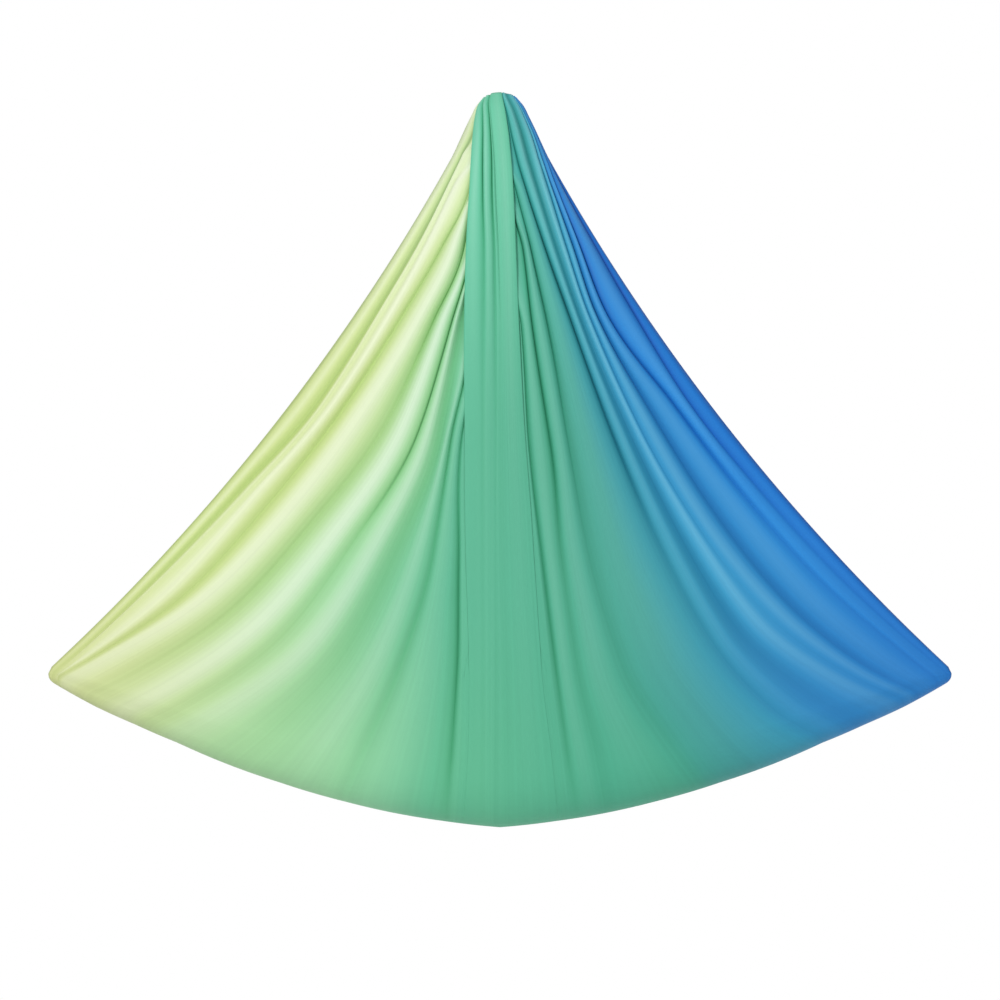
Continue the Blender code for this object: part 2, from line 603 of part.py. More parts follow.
def gate_spring(name):
    """Compression spring in the gate's bore."""
    top = PIN_HEIGHT - GATE_SLOT_DEPTH - SPRING_WIRE_RADIUS
    bottom = top - SPRING_BORE_DEPTH + SPRING_WIRE_RADIUS * 2 + TOUCH_GAP
    count = SPRING_TURNS * SPRING_STEPS_PER_TURN
    points = []
    for index in range(count + 1):
        angle = math.tau * index / SPRING_STEPS_PER_TURN
        points.append((CARABINER_ARC_RADIUS + SPRING_COIL_RADIUS * math.cos(angle),
                       SPRING_COIL_RADIUS * math.sin(angle),
                       bottom + (top - bottom) * index / count))
    return add_object(name, tube(points, [SPRING_WIRE_RADIUS] * len(points), SPRING_SIDES),
                      "bearing_steel", smooth_angle_deg=SPRING_EDGE_DEG)


def lock_sleeve(name):
    """Ribbed sleeve on the gate, drawn as unlocked."""
    inner = GATE_RADIUS + TOUCH_GAP
    rib_count = SLEEVE_RIB_COUNT
    body = bmesh.new()
    rows = []
    chamfer = SLEEVE_RIB_DEPTH * 2
    outline = ((SLEEVE_BOTTOM, inner, False), (SLEEVE_BOTTOM, SLEEVE_RADIUS - chamfer, False),
               (SLEEVE_BOTTOM + chamfer, SLEEVE_RADIUS, True),
               (SLEEVE_BOTTOM + SLEEVE_LENGTH - chamfer, SLEEVE_RADIUS, True),
               (SLEEVE_BOTTOM + SLEEVE_LENGTH, SLEEVE_RADIUS - chamfer, False),
               (SLEEVE_BOTTOM + SLEEVE_LENGTH, inner, False))
    for height, radius, ribbed in outline:
        row = []
        for index in range(rib_count * 2):
            angle = math.tau * index / (rib_count * 2)
            reach = radius - (SLEEVE_RIB_DEPTH if ribbed and index % 2 else 0.0)
            row.append(body.verts.new((CARABINER_ARC_RADIUS + reach * math.cos(angle),
                                       reach * math.sin(angle), height)))
        rows.append(row)
    for lower, upper in zip(rows, rows[1:] + rows[:1]):
        for index in range(rib_count * 2):
            following = (index + 1) % (rib_count * 2)
            body.faces.new((lower[index], lower[following], upper[following], upper[index]))
    return add_object(name, body, "anodised")


def build_carabiner(side_name, front):
    """One screw-lock carabiner, its gate on its own +X side."""
    frame = carabiner_frame(front)
    pieces = [carabiner_body(side_name + "_carabiner_body"),
              carabiner_gate(side_name + "_gate"), gate_spring(side_name + "_gate_spring"),
              lock_sleeve(side_name + "_lock_sleeve")]
    pin = add_object(side_name + "_gate_pin", cylinder(
        PIN_RADIUS, -PIN_LENGTH / 2, PIN_LENGTH / 2, "Y", SMALL_SEGMENTS), "bearing_steel")
    place(pin, Matrix.Translation((CARABINER_ARC_RADIUS, 0.0, PIN_HEIGHT)))
    pieces.append(pin)
    for piece in pieces:
        place(piece, frame)


def knot_body(extra):
    """Pleated lump round the basket, its outline grown by a clearance."""
    rows = []
    height = KNOT_TOP - KNOT_BOTTOM
    for height_share, width_share in zip(KNOT_HEIGHT_SHARES, KNOT_WIDTH_SHARES):
        row = []
        level = KNOT_BOTTOM + height * height_share
        if extra:
            level += extra * (height_share + height_share - 1)
        for index in range(KNOT_SEGMENTS):
            angle = math.tau * index / KNOT_SEGMENTS
            twist = math.radians(KNOT_TWIST_DEG) * height_share
            pleat = 1 + KNOT_PLEAT_SHARE * math.cos(KNOT_PLEAT_COUNT * (angle + twist))
            row.append(((KNOT_HALF_WIDTH * width_share * pleat + extra) * math.cos(angle),
                        (KNOT_HALF_DEPTH * width_share * pleat + extra) * math.sin(angle), level))
        rows.append(row)
    return grid_body(rows, closed_round=True)


def build_knot(side_name, front):
    """Choke knot: the gathered cloth wrapped on the carabiner's basket."""
    knot = add_object(side_name + "_choke_knot", knot_body(0.0), "green_cloth",
                      smooth_angle_deg=KNOT_EDGE_DEG)
    path = arc_points(LOWER_ARC_CENTRE, HALF_TURN_DEG, FULL_TURN_DEG)
    path = [(-CARABINER_ARC_RADIUS, 0.0, UPPER_ARC_CENTRE)] + path
    path.append((CARABINER_ARC_RADIUS, 0.0, UPPER_ARC_CENTRE))
    combine(knot, tube(path, [BAR_RADIUS + KNOT_BAR_GAP] * len(path)), "DIFFERENCE")
    place(knot, carabiner_frame(front))


def build_tail(side_name, front):
    """Loose end of the cloth below its knot, in flat pleats that flare."""
    rows = []
    side = -1 if front else 1
    frame = carabiner_frame(front)
    neck_share = KNOT_WIDTH_SHARES[-1]
    start = frame @ Vector((0.0, 0.0, KNOT_BOTTOM - TOUCH_GAP))
    lean = (frame.to_3x3() @ Vector((0.0, 0.0, -1.0))).normalized()
    upright = Vector((0.0, 0.0, -1.0))
    for row_index in range(TAIL_ROWS):
        share = row_index / (TAIL_ROWS - 1)
        half_width = KNOT_HALF_WIDTH * neck_share
        half_width += (TAIL_HALF_WIDTH - half_width) * share ** TAIL_FLARE_SHARE
        half_depth = KNOT_HALF_DEPTH * neck_share
        half_depth += (TAIL_HALF_DEPTH - half_depth) * share
        blend = min(1.0, share * TAIL_STRAIGHTEN_SHARES)
        direction = (lean * (1 - blend) + upright * blend).normalized()
        if row_index:
            centre = centre + direction * (TAIL_LENGTH / (TAIL_ROWS - 1))
        else:
            centre = start.copy()
        across = Vector((1.0, 0.0, 0.0))
        deep = across.cross(direction).normalized()
        row = []
        for index in range(KNOT_SEGMENTS):
            angle = math.tau * index / KNOT_SEGMENTS
            pleat = 1 - TAIL_PLEAT_SHARE * share * (1 + math.cos(TAIL_PLEAT_COUNT * angle)) / 2
            row.append(centre + across * (half_width * math.cos(angle) * pleat)
                       + deep * (half_depth * math.sin(angle) * pleat))
        rows.append(row)
    add_object(side_name + "_tail", grid_body(rows, closed_round=True),
               "lime_cloth" if front else "blue_cloth", smooth_angle_deg=KNOT_EDGE_DEG)


def cloth_columns():
    """Columns of the cloth: each fold line, and the middle of the wide panels."""
    columns = []
    for index, (places, depths) in enumerate(zip(FOLD_PLACE_SHARES, FOLD_DEPTH_SHARES)):
        columns.append((places, depths))
        if index in HALVED_PANELS:
            next_places = FOLD_PLACE_SHARES[index + 1]
            next_depths = FOLD_DEPTH_SHARES[index + 1]
            columns.append((tuple((a + b) / 2 for a, b in zip(places, next_places)),
                            tuple((a + b) / 2 for a, b in zip(depths, next_depths))))
    return columns


def pocket(radius_share, place_share):
    """Half the pocket's depth at a place on the fan."""
    middle = interpolate(radius_share, POCKET_SHARES, POCKET_MIDDLE)
    edge = interpolate(radius_share, POCKET_SHARES, POCKET_EDGE)
    crown = max(0.0, 1 - place_share * place_share) ** POCKET_ROUNDNESS_SHARE
    return edge + (middle - edge) * crown


def fan_point(radius, place_share, half_pocket):
    """Point on the front half's surface without its folds."""
    radius_share = radius / FAN_RADIUS
    half_angle = math.radians(FAN_HALF_ANGLE_AT_APEX_DEG + FAN_HALF_ANGLE_GROWTH_DEG * radius_share)
    corner = max(0.0, min(1.0, (radius - FAN_RADIUS + CORNER_RADIUS) / CORNER_RADIUS))
    half_angle -= CORNER_RADIUS * (1 - math.sqrt(1 - corner * corner)) / FAN_RADIUS
    x = radius * math.sin(half_angle * place_share)
    z = FAN_APEX_ABOVE_EYE - radius * math.cos(half_angle * place_share)
    if radius_share < DOME_SHARES[-1]:
        fan_half_width = radius * math.sin(half_angle)
        end_half_width = DOME_SHARES[-1] * FAN_RADIUS * math.sin(half_angle)
        widening = interpolate(radius_share, DOME_SHARES, DOME_HALF_WIDTH) / fan_half_width
        x *= widening * end_half_width / DOME_HALF_WIDTH[-1]
        z -= interpolate(radius_share, DOME_SHARES, DOME_DROP) * place_share * place_share
    return Vector((x, -half_pocket, z))


def skirt_rows(columns):
    """Rows of the hood's inner skirt, from the knot up: points without folds, and folds."""
    rows = []
    basket = carabiner_frame(True) @ Vector((0.0, 0.0, BASKET_HEIGHT))
    start = basket.z + SKIRT_START_ABOVE_BASKET
    for index, half_width in enumerate(SKIRT_HALF_WIDTH):
        height = start + (SKIRT_RIM_HEIGHT - start) * SKIRT_RISE_SHARES[index]
        drop = SKIRT_DROP[index]
        knot_place = -basket.y * SKIRT_KNOT_SHARES[index]
        middle = SKIRT_MIDDLE[index] + knot_place
        edge = SKIRT_EDGE[index] + knot_place
        row = []
        for places, depths in columns:
            place_share = places[0]
            crown = math.sqrt(max(0.0, 1 - place_share * place_share))
            point = Vector((half_width * place_share, -(edge + (middle - edge) * crown),
                            height - drop * place_share * place_share))
            row.append((point, FOLD_DEPTH * depths[0] * SKIRT_FOLD_SHARE))
        rows.append(row)
    return rows


def outer_rows(columns):
    """Rows from the hood's rim down to where the bottom fold starts to turn."""
    rows = []
    for radius_share in ROW_SHARES:
        row = []
        for places, depths in columns:
            place_share = interpolate(radius_share, STATION_SHARES, places)
            half_pocket = pocket(radius_share, place_share)
            fold = FOLD_DEPTH * interpolate(radius_share, STATION_SHARES, depths)
            fold *= interpolate(radius_share, HEAD_SHARES, HEAD_FOLD_SHARES)
            point = fan_point(radius_share * FAN_RADIUS, place_share, half_pocket)
            row.append((point, min(fold, half_pocket / 2)))
        rows.append(row)
    return rows


def bottom_rows(columns):
    """Rows round the bottom fold, as far as the plane where the two halves meet."""
    rows = []
    for turn_deg in BOTTOM_TURN_DEG:
        turn = math.radians(turn_deg)
        row = []
        for places, depths in columns:
            half_pocket = pocket(1.0, places[-1])
            radius = FAN_RADIUS - half_pocket * (1 - math.sin(turn))
            station = radius / FAN_RADIUS
            point = fan_point(radius, interpolate(station, STATION_SHARES, places),
                              TOUCH_GAP / 2 + half_pocket * math.cos(turn))
            fold = FOLD_DEPTH * interpolate(station, STATION_SHARES, depths) * math.cos(turn)
            row.append((point, fold))
        rows.append(row)
    return rows


def sheet_body(rows, thickness):
    """Push the folds in along the surface's normals, and give the sheet its thickness."""
    row_count = len(rows)
    column_count = len(rows[0])
    body = bmesh.new()
    outer = []
    inner = []
    for i in range(row_count):
        outer_row = []
        inner_row = []
        for j in range(column_count):
            point, fold = rows[i][j]
            down = rows[min(i + 1, row_count - 1)][j][0] - rows[max(i - 1, 0)][j][0]
            across = rows[i][min(j + 1, column_count - 1)][0] - rows[i][max(j - 1, 0)][0]
            normal = down.cross(across).normalized()
            outer_row.append(body.verts.new(point + normal * (thickness / 2 - fold)))
            inner_row.append(body.verts.new(point - normal * (thickness / 2 + fold)))
        outer.append(outer_row)
        inner.append(inner_row)
    for i in range(row_count - 1):
        for j in range(column_count - 1):
            body.faces.new((outer[i][j], outer[i + 1][j], outer[i + 1][j + 1], outer[i][j + 1]))
            body.faces.new((inner[i][j], inner[i][j + 1], inner[i + 1][j + 1], inner[i + 1][j]))
    for i in range(row_count - 1):
        body.faces.new((outer[i][0], inner[i][0], inner[i + 1][0], outer[i + 1][0]))
        body.faces.new((outer[i][-1], outer[i + 1][-1], inner[i + 1][-1], inner[i][-1]))
    for j in range(column_count - 1):
        body.faces.new((outer[0][j], outer[0][j + 1], inner[0][j + 1], inner[0][j]))
        body.faces.new((outer[-1][j], inner[-1][j], inner[-1][j + 1], outer[-1][j + 1]))
    return body


def build_cloth(side_name, front):
    """One half of the hammock's cloth, trimmed where it runs into its knot."""
    columns = cloth_columns()
    rows = skirt_rows(columns) + outer_rows(columns) + bottom_rows(columns)
    sheet = sheet_body(rows, CLOTH_THICKNESS)
    if not front:
        bmesh.ops.transform(sheet, matrix=Matrix.Rotation(math.pi, 4, "Z"), verts=sheet.verts)
    cloth = add_object("hammock_cloth_" + side_name + "_half", sheet, "green_cloth",
                       smooth_angle_deg=CLOTH_EDGE_DEG)
    trim = knot_body(TOUCH_GAP)
    bmesh.ops.transform(trim, matrix=carabiner_frame(front), verts=trim.verts)
    combine(cloth, trim, "DIFFERENCE")


def main():
    """Build the hammock."""
    clear_scene()
    build_top_eye()
    build_bearing()
    build_lower_eye()
    for side_name, front in (("front", True), ("back", False)):
        build_carabiner(side_name, front)
        build_knot(side_name, front)
        build_tail(side_name, front)
        build_cloth(side_name, front)


main()
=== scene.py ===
"""Looks of the aerial hammock: its dyed cloth, knots, loose tails and metal fittings."""

import json
import logging
import math
from dataclasses import dataclass, field
from enum import Enum
from typing import Iterable, Optional, Sequence

import bpy
import numpy as np
from mathutils import Matrix, Vector


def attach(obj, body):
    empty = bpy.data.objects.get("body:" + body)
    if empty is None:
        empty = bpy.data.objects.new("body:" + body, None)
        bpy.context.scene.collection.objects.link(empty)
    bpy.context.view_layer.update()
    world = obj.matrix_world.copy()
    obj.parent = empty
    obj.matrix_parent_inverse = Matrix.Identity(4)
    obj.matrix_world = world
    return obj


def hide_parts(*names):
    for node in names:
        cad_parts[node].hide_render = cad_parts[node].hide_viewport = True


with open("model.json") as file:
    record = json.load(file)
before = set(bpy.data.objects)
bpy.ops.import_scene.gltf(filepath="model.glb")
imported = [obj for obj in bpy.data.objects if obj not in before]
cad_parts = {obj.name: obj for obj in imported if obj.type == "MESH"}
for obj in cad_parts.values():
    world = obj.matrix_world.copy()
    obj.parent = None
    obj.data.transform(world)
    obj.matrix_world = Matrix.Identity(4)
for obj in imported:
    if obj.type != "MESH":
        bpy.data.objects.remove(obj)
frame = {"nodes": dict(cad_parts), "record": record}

LOG = logging.getLogger("aerial_hammock")
MM = 0.001
TINY = 1e-12


class Side(Enum):
    """Which half of the loop a piece belongs to, with the sign of its y."""

    FRONT = -1
    BACK = 1


class FoldKind(Enum):
    """What one lengthwise line of the cloth does."""

    SELVEDGE = "selvedge"
    RIDGE = "ridge"
    VALLEY = "valley"
    GROOVE = "groove"
    LAP = "lap"
    TUCK_LEFT = "tuck_left"
    TUCK_RIGHT = "tuck_right"


# Finishes


def linear(code: str) -> tuple[float, float, float, float]:
    """Turn an sRGB hex colour to linear.

    Args:
        code: Six hex digits, with or without a leading hash.

    Returns:
        Linear red, green and blue, and an alpha of one.
    """
    digits = code.lstrip("#")
    parts = [int(digits[i:i + 2], 16) / 255 for i in (0, 2, 4)]
    red, green, blue = (p / 12.92 if p <= 0.04045 else ((p + 0.055) / 1.055) ** 2.4 for p in parts)
    return red, green, blue, 1.0


def add_node(tree: bpy.types.NodeTree, kind: str, values: Optional[dict] = None,
             links: Optional[dict] = None, stops: Sequence[tuple[float, str]] = (),
             **settings: object) -> bpy.types.Node:
    """Add a node with its settings, socket values, links and colour stops.

    Args:
        tree: The node tree it goes into.
        kind: The node's type.
        values: Socket name or index to the value set on it.
        links: Socket name or index to the output that feeds it.
        stops: Rising place and hex colour of each stop of a colour ramp.
        **settings: Properties of the node itself.

    Returns:
        The new node.
    """
    node = tree.nodes.new(kind)
    for name, value in settings.items():
        setattr(node, name, value)
    for name, value in (values or {}).items():
        node.inputs[name].default_value = value
    for name, source in (links or {}).items():
        tree.links.new(source, node.inputs[name])
    for number, (place, code) in enumerate(stops):
        # a new ramp comes with two stops
        elements = node.color_ramp.elements
        element = elements[number] if number < 2 else elements.new(place)
        element.position, element.color = place, linear(code)
    return node


def new_material(name: str) -> tuple[bpy.types.Material, bpy.types.NodeTree]:
    """Make a material without nodes.

    Args:
        name: The material's name.

    Returns:
        The material and its node tree.
    """
    material = bpy.data.materials.new(name)
    material.use_nodes = True
    material.node_tree.nodes.clear()
    return material, material.node_tree


@dataclass(frozen=True)
class ClothPattern:
    """Noise on the cloth, by the size of its cells on the flat cloth, and its relief.

    The sizes were matched, and none was measured. Where fades_in is given, the
    relief grows between these shares of the way down.
    """

    across_mm: float
    along_mm: float
    detail: float
    distortion: float = 0.0
    turn: float = 0.0
    strength: float = 0.0
    relief_mm: float = 0.0
    fades_in: Optional[tuple[float, float]] = None


@dataclass(frozen=True)
class PaintedFoldLight:
    """Highlight or shade painted into the dye where the knit has one lay.

    The change has the strengths of at where the lay has the values of between. The
    deep-dyed side of the cloth takes only the share deep_side of it.
    """

    between: tuple[float, float]
    at: tuple[float, float]
    gamma: float
    tint: str
    deep_side: float = 1.0


@dataclass(frozen=True)
class DyedTricot:
    """Nylon tricot, dip-dyed across its width.

    It gives the eye a matt satin with lengthwise ribs of the knit: soft broad highlights
    along the folds, partly from its sheen and partly painted on the ridges, and darker,
    saturated colour painted inside the folds as shade.
    """

    name: str = "dip_dyed_nylon_tricot"
    width_mm: float = 2800.0
    half_length_mm: float = 2450.0
    head: tuple[tuple[float, str], ...] = (
        (0.00, "#DDEDBB"), (0.06, "#DDEFBA"), (0.12, "#B2DFA8"), (0.17, "#98D7A2"),
        (0.36, "#76CBA8"), (0.45, "#72CDAA"), (0.54, "#6CC8A4"), (0.64, "#58B6A0"),
        (0.79, "#52B5AE"), (0.835, "#56B4B8"), (0.875, "#48ACD2"), (0.92, "#3A94D8"),
        (1.00, "#1D66C4"))
    middle: tuple[tuple[float, str], ...] = (
        (0.00, "#D3E29C"), (0.08, "#D2E3A0"), (0.13, "#C4E0A2"), (0.18, "#B4DDA6"),
        (0.23, "#A6DBA6"), (0.34, "#76C599"), (0.41, "#64BB97"), (0.60, "#55AF91"),
        (0.71, "#4DA699"), (0.78, "#3F9CB2"), (0.845, "#3F9FCC"), (0.90, "#2E88C6"),
        (0.955, "#3190DA"), (1.00, "#257ED6"))
    bottom: tuple[tuple[float, str], ...] = (
        (0.00, "#D2DA96"), (0.12, "#D0DA9B"), (0.19, "#CADA9E"), (0.24, "#BED99C"),
        (0.29, "#AFDAA3"), (0.34, "#9ED5A0"), (0.385, "#8FD1A1"), (0.42, "#68BE94"),
        (0.64, "#4BA98B"), (0.705, "#409899"), (0.76, "#3896B6"), (0.81, "#2E84C2"),
        (1.00, "#287CD0"))
    head_to_middle: tuple[float, float] = (0.06, 0.58)
    middle_to_bottom: tuple[float, float] = (0.70, 1.0)
    # the dye wanders a few centimetres across the cloth where the bath lapped
    wander: ClothPattern = ClothPattern(1217.4, 1065.2, detail=3.0)
    wander_share: float = 0.025
    # painted highlight: the dye is made paler over the ridges, the pale dye the most
    painted_ridge_highlight: PaintedFoldLight = PaintedFoldLight((0.5, 1.0), (0.0, 1.0), 0.50, "#FFFFFF", deep_side=0.36)
    # painted shade: the dye is made deeper and darker in the folds
    painted_fold_shade: PaintedFoldLight = PaintedFoldLight((0.0, 0.5), (0.85, 0.0), 1.4, "#EAF2EC")
    # painted shade, darker still, where the cloth is shut in a crease
    shut: PaintedFoldLight = PaintedFoldLight((-0.45, 0.05), (1.0, 0.0), 1.25, "#A6B8BC")
    # across the cloth, each painted highlight or shade falls to its deep_side share
    painted_light_across: tuple[float, float] = (0.26, 0.46)
    # threads differ a little in how much dye they took: drawn coarser, or they would not show
    thread: ClothPattern = ClothPattern(10.769, 1531.0, detail=2.0)
    thread_noise: tuple[float, float] = (0.3, 0.7)
    thread_shade: tuple[float, float] = (0.965, 1.02)
    # knit wales are 0.5 mm apart in fact: drawn coarser, or they would not show
    knit: ClothPattern = ClothPattern(5.0, 10.94, detail=1.0, strength=0.10, relief_mm=1.0)
    # short creases cross the cloth where it turns under at the bottom
    crease: ClothPattern = ClothPattern(254.5, 53.26, detail=2.0, distortion=0.8, turn=0.12,
                                        strength=0.5, relief_mm=2.7, fades_in=(0.88, 1.0))
    ripple: ClothPattern = ClothPattern(22.0, 1113.6, detail=2.0, strength=0.35, relief_mm=4.0)
    roughness: float = 0.48
    ior: float = 1.5
    specular: float = 0.14
    sheen: float = 0.04
    sheen_roughness: float = 0.45

    def noise(self, tree: bpy.types.NodeTree, place: bpy.types.NodeSocket,
              pattern: ClothPattern) -> bpy.types.NodeSocket:
        """Noise whose cells have the pattern's size on the flat cloth.

        Args:
            tree: The material's node tree.
            place: Place across and along the cloth.
            pattern: The pattern.

        Returns:
            Its value, from 0 to 1.
        """
        scale = (self.width_mm / pattern.across_mm, self.half_length_mm / pattern.along_mm, 1.0)
        spread = add_node(tree, "ShaderNodeMapping",
                          {"Scale": scale, "Rotation": (0.0, 0.0, pattern.turn)},
                          {"Vector": place}).outputs[0]
        return add_node(tree, "ShaderNodeTexNoise",
                        {"Scale": 1.0, "Detail": pattern.detail,
                         "Distortion": pattern.distortion}, {"Vector": spread}).outputs["Fac"]

    def dye(self, tree: bpy.types.NodeTree, across: bpy.types.NodeSocket,
            along: bpy.types.NodeSocket) -> bpy.types.NodeSocket:
        """Colour that the bath left across the cloth, from its head to its bottom.

        Args:
            tree: The material's node tree.
            across: Place across the cloth.
            along: Place along the cloth.

        Returns:
            The colour.
        """
        colour = add_node(tree, "ShaderNodeValToRGB", links={0: across},
                          stops=self.head).outputs[0]
        for stops, (start, end) in ((self.middle, self.head_to_middle),
                                    (self.bottom, self.middle_to_bottom)):
            lower = add_node(tree, "ShaderNodeValToRGB", links={0: across},
                             stops=stops).outputs[0]
            share = add_node(tree, "ShaderNodeMapRange", {1: start, 2: end}, {0: along},
                             interpolation_type="SMOOTHSTEP").outputs[0]
            colour = add_node(tree, "ShaderNodeMix", links={0: share, 6: colour, 7: lower},
                              data_type="RGBA").outputs[2]
        return colour

    def paint_fold_light(self, tree: bpy.types.NodeTree, colour: bpy.types.NodeSocket,
               across: bpy.types.NodeSocket) -> bpy.types.NodeSocket:
        """Paint highlight on the ridges and shade in the folds and creases, by the lay map.

        Args:
            tree: The material's node tree.
            colour: The dye.
            across: Place across the cloth.

        Returns:
            The changed colour.
        """
        # the lay map says where highlight and shade are painted
        lay = add_node(tree, "ShaderNodeUVMap", uv_map="lay").outputs["UV"]
        lay = add_node(tree, "ShaderNodeSeparateXYZ", links={0: lay}).outputs["X"]
        for look in (self.painted_ridge_highlight, self.painted_fold_shade, self.shut):
            share = add_node(tree, "ShaderNodeMapRange",
                             {1: look.between[0], 2: look.between[1], 3: look.at[0],
                              4: look.at[1]}, {0: lay}).outputs[0]
            taken = add_node(tree, "ShaderNodeMapRange",
                             {1: self.painted_light_across[0], 2: self.painted_light_across[1], 3: 1.0,
                              4: look.deep_side}, {0: across}).outputs[0]
            share = add_node(tree, "ShaderNodeMath", links={0: share, 1: taken},
                             operation="MULTIPLY").outputs[0]
            curve = add_node(tree, "ShaderNodeGamma", {"Gamma": look.gamma},
                             {"Color": colour}).outputs[0]
            tinted = add_node(tree, "ShaderNodeMix", {0: 1.0, 7: linear(look.tint)}, {6: curve},
                              data_type="RGBA", blend_type="MULTIPLY").outputs[2]
            colour = add_node(tree, "ShaderNodeMix", links={0: share, 6: colour, 7: tinted},
                              data_type="RGBA").outputs[2]
        return colour

    def relief(self, tree: bpy.types.NodeTree, place: bpy.types.NodeSocket,
               along: bpy.types.NodeSocket) -> bpy.types.NodeSocket:
        """Relief of the knit, of the creases at the bottom and of the pulled ripples.

        Args:
            tree: The material's node tree.
            place: Place across and along the cloth.
            along: Place along the cloth.

        Returns:
            The normal.
        """
        links = {}
        for pattern in (self.knit, self.crease, self.ripple):
            height = self.noise(tree, place, pattern)
            if pattern.fades_in:
                share = add_node(tree, "ShaderNodeMapRange",
                                 {1: pattern.fades_in[0], 2: pattern.fades_in[1]}, {0: along},
                                 interpolation_type="SMOOTHSTEP").outputs[0]
                height = add_node(tree, "ShaderNodeMath", links={0: height, 1: share},
                                  operation="MULTIPLY").outputs[0]
            bump = add_node(tree, "ShaderNodeBump",
                            {"Strength": pattern.strength, "Distance": pattern.relief_mm * MM},
                            {"Height": height, **links})
            links = {"Normal": bump.outputs[0]}
        return links["Normal"]

    def make(self) -> bpy.types.Material:
        """Build the material.

        Returns:
            The material.
        """
        material, tree = new_material(self.name)
        place = add_node(tree, "ShaderNodeUVMap", uv_map="cloth").outputs["UV"]
        parts = add_node(tree, "ShaderNodeSeparateXYZ", links={0: place}).outputs
        shift = add_node(tree, "ShaderNodeMath", {1: 0.5},
                         {0: self.noise(tree, place, self.wander)},
                         operation="SUBTRACT").outputs[0]
        across = add_node(tree, "ShaderNodeMath", {1: self.wander_share},
                          {0: shift, 2: parts["X"]}, operation="MULTIPLY_ADD").outputs[0]
        colour = self.paint_fold_light(tree, self.dye(tree, across, parts["Y"]), parts["X"])
        (low, high), (dark, light) = self.thread_noise, self.thread_shade
        shade = add_node(tree, "ShaderNodeMapRange", {1: low, 2: high, 3: dark, 4: light},
                         {0: self.noise(tree, place, self.thread)}).outputs[0]
        tinted = add_node(tree, "ShaderNodeMix", {0: 1.0}, {6: colour, 7: shade},
                          data_type="RGBA", blend_type="MULTIPLY").outputs[2]
        shader = add_node(tree, "ShaderNodeBsdfPrincipled",
                          {"Roughness": self.roughness, "IOR": self.ior,
                           "Specular IOR Level": self.specular, "Sheen Weight": self.sheen,
                           "Sheen Roughness": self.sheen_roughness},
                          {"Base Color": tinted, "Normal": self.relief(tree, place, parts["Y"])})
        add_node(tree, "ShaderNodeOutputMaterial", links={0: shader.outputs[0]})
        return material


@dataclass(frozen=True)
class Metal:
    """A bare, plated or anodised metal.

    It gives the eye a tight highlight that brushing or tumbling has spread a little,
    and a faint cloudiness where hands and rope have rubbed it. The sizes of the grain
    and of the cloudiness are estimates.
    """

    name: str
    colour: str
    worn: str
    roughness: float
    grain_mm: float
    stretch: float = 1.0
    cloud_mm: float = 11.11
    cloud_levels: tuple[float, float] = (0.35, 0.62)
    grain_levels: tuple[float, float] = (0.3, 0.7)
    roughness_shares: tuple[float, float] = (0.8, 1.25)
    relief_mm: float = 0.2
    relief_strength: float = 0.15

    def make(self) -> bpy.types.Material:
        """Build the material.

        Returns:
            The material.
        """
        material, tree = new_material(self.name)
        place = add_node(tree, "ShaderNodeTexCoord").outputs["Object"]
        scale = 1 / (self.grain_mm * MM)
        spread = add_node(tree, "ShaderNodeMapping", {"Scale": (scale, scale, scale * self.stretch)},
                          {"Vector": place}).outputs[0]
        grain = add_node(tree, "ShaderNodeTexNoise", {"Scale": 1.0, "Detail": 4.0},
                         {"Vector": spread}).outputs["Fac"]
        cloud = add_node(tree, "ShaderNodeTexNoise",
                         {"Scale": 1 / (self.cloud_mm * MM), "Detail": 3.0},
                         {"Vector": place}).outputs["Fac"]
        colour = add_node(tree, "ShaderNodeValToRGB", links={0: cloud},
                          stops=tuple(zip(self.cloud_levels, (self.worn, self.colour))))
        smooth, rough = (self.roughness * share for share in self.roughness_shares)
        roughness = add_node(tree, "ShaderNodeMapRange",
                             {1: self.grain_levels[0], 2: self.grain_levels[1], 3: smooth,
                              4: rough}, {0: grain})
        bump = add_node(tree, "ShaderNodeBump",
                        {"Strength": self.relief_strength, "Distance": self.relief_mm * MM},
                        {"Height": grain})
        shader = add_node(tree, "ShaderNodeBsdfPrincipled", {"Metallic": 1.0},
                          {"Base Color": colour.outputs[0], "Roughness": roughness.outputs[0],
                           "Normal": bump.outputs[0]})
        add_node(tree, "ShaderNodeOutputMaterial", links={0: shader.outputs[0]})
        return material


@dataclass(frozen=True)
class SealRubber:
    """Moulded nitrile rubber.

    It gives the eye a matt, nearly black surface with a dusty bloom, whose size is an
    estimate.
    """

    name: str = "moulded_nitrile_rubber"
    colour: str = "#232426"
    bloom: str = "#3A3B3D"
    bloom_levels: tuple[float, float] = (0.40, 0.72)
    bloom_mm: float = 4.545
    roughness: float = 0.72
    ior: float = 1.52
    relief_mm: float = 0.2
    relief_strength: float = 0.12

    def make(self) -> bpy.types.Material:
        """Build the material.

        Returns:
            The material.
        """
        material, tree = new_material(self.name)
        place = add_node(tree, "ShaderNodeTexCoord").outputs["Object"]
        dust = add_node(tree, "ShaderNodeTexNoise",
                        {"Scale": 1 / (self.bloom_mm * MM), "Detail": 4.0},
                        {"Vector": place}).outputs["Fac"]
        colour = add_node(tree, "ShaderNodeValToRGB", links={0: dust},
                          stops=tuple(zip(self.bloom_levels, (self.colour, self.bloom))))
        bump = add_node(tree, "ShaderNodeBump",
                        {"Strength": self.relief_strength, "Distance": self.relief_mm * MM},
                        {"Height": dust})
        shader = add_node(tree, "ShaderNodeBsdfPrincipled",
                          {"Roughness": self.roughness, "IOR": self.ior},
                          {"Base Color": colour.outputs[0], "Normal": bump.outputs[0]})
        add_node(tree, "ShaderNodeOutputMaterial", links={0: shader.outputs[0]})
        return material


# Mesh helpers


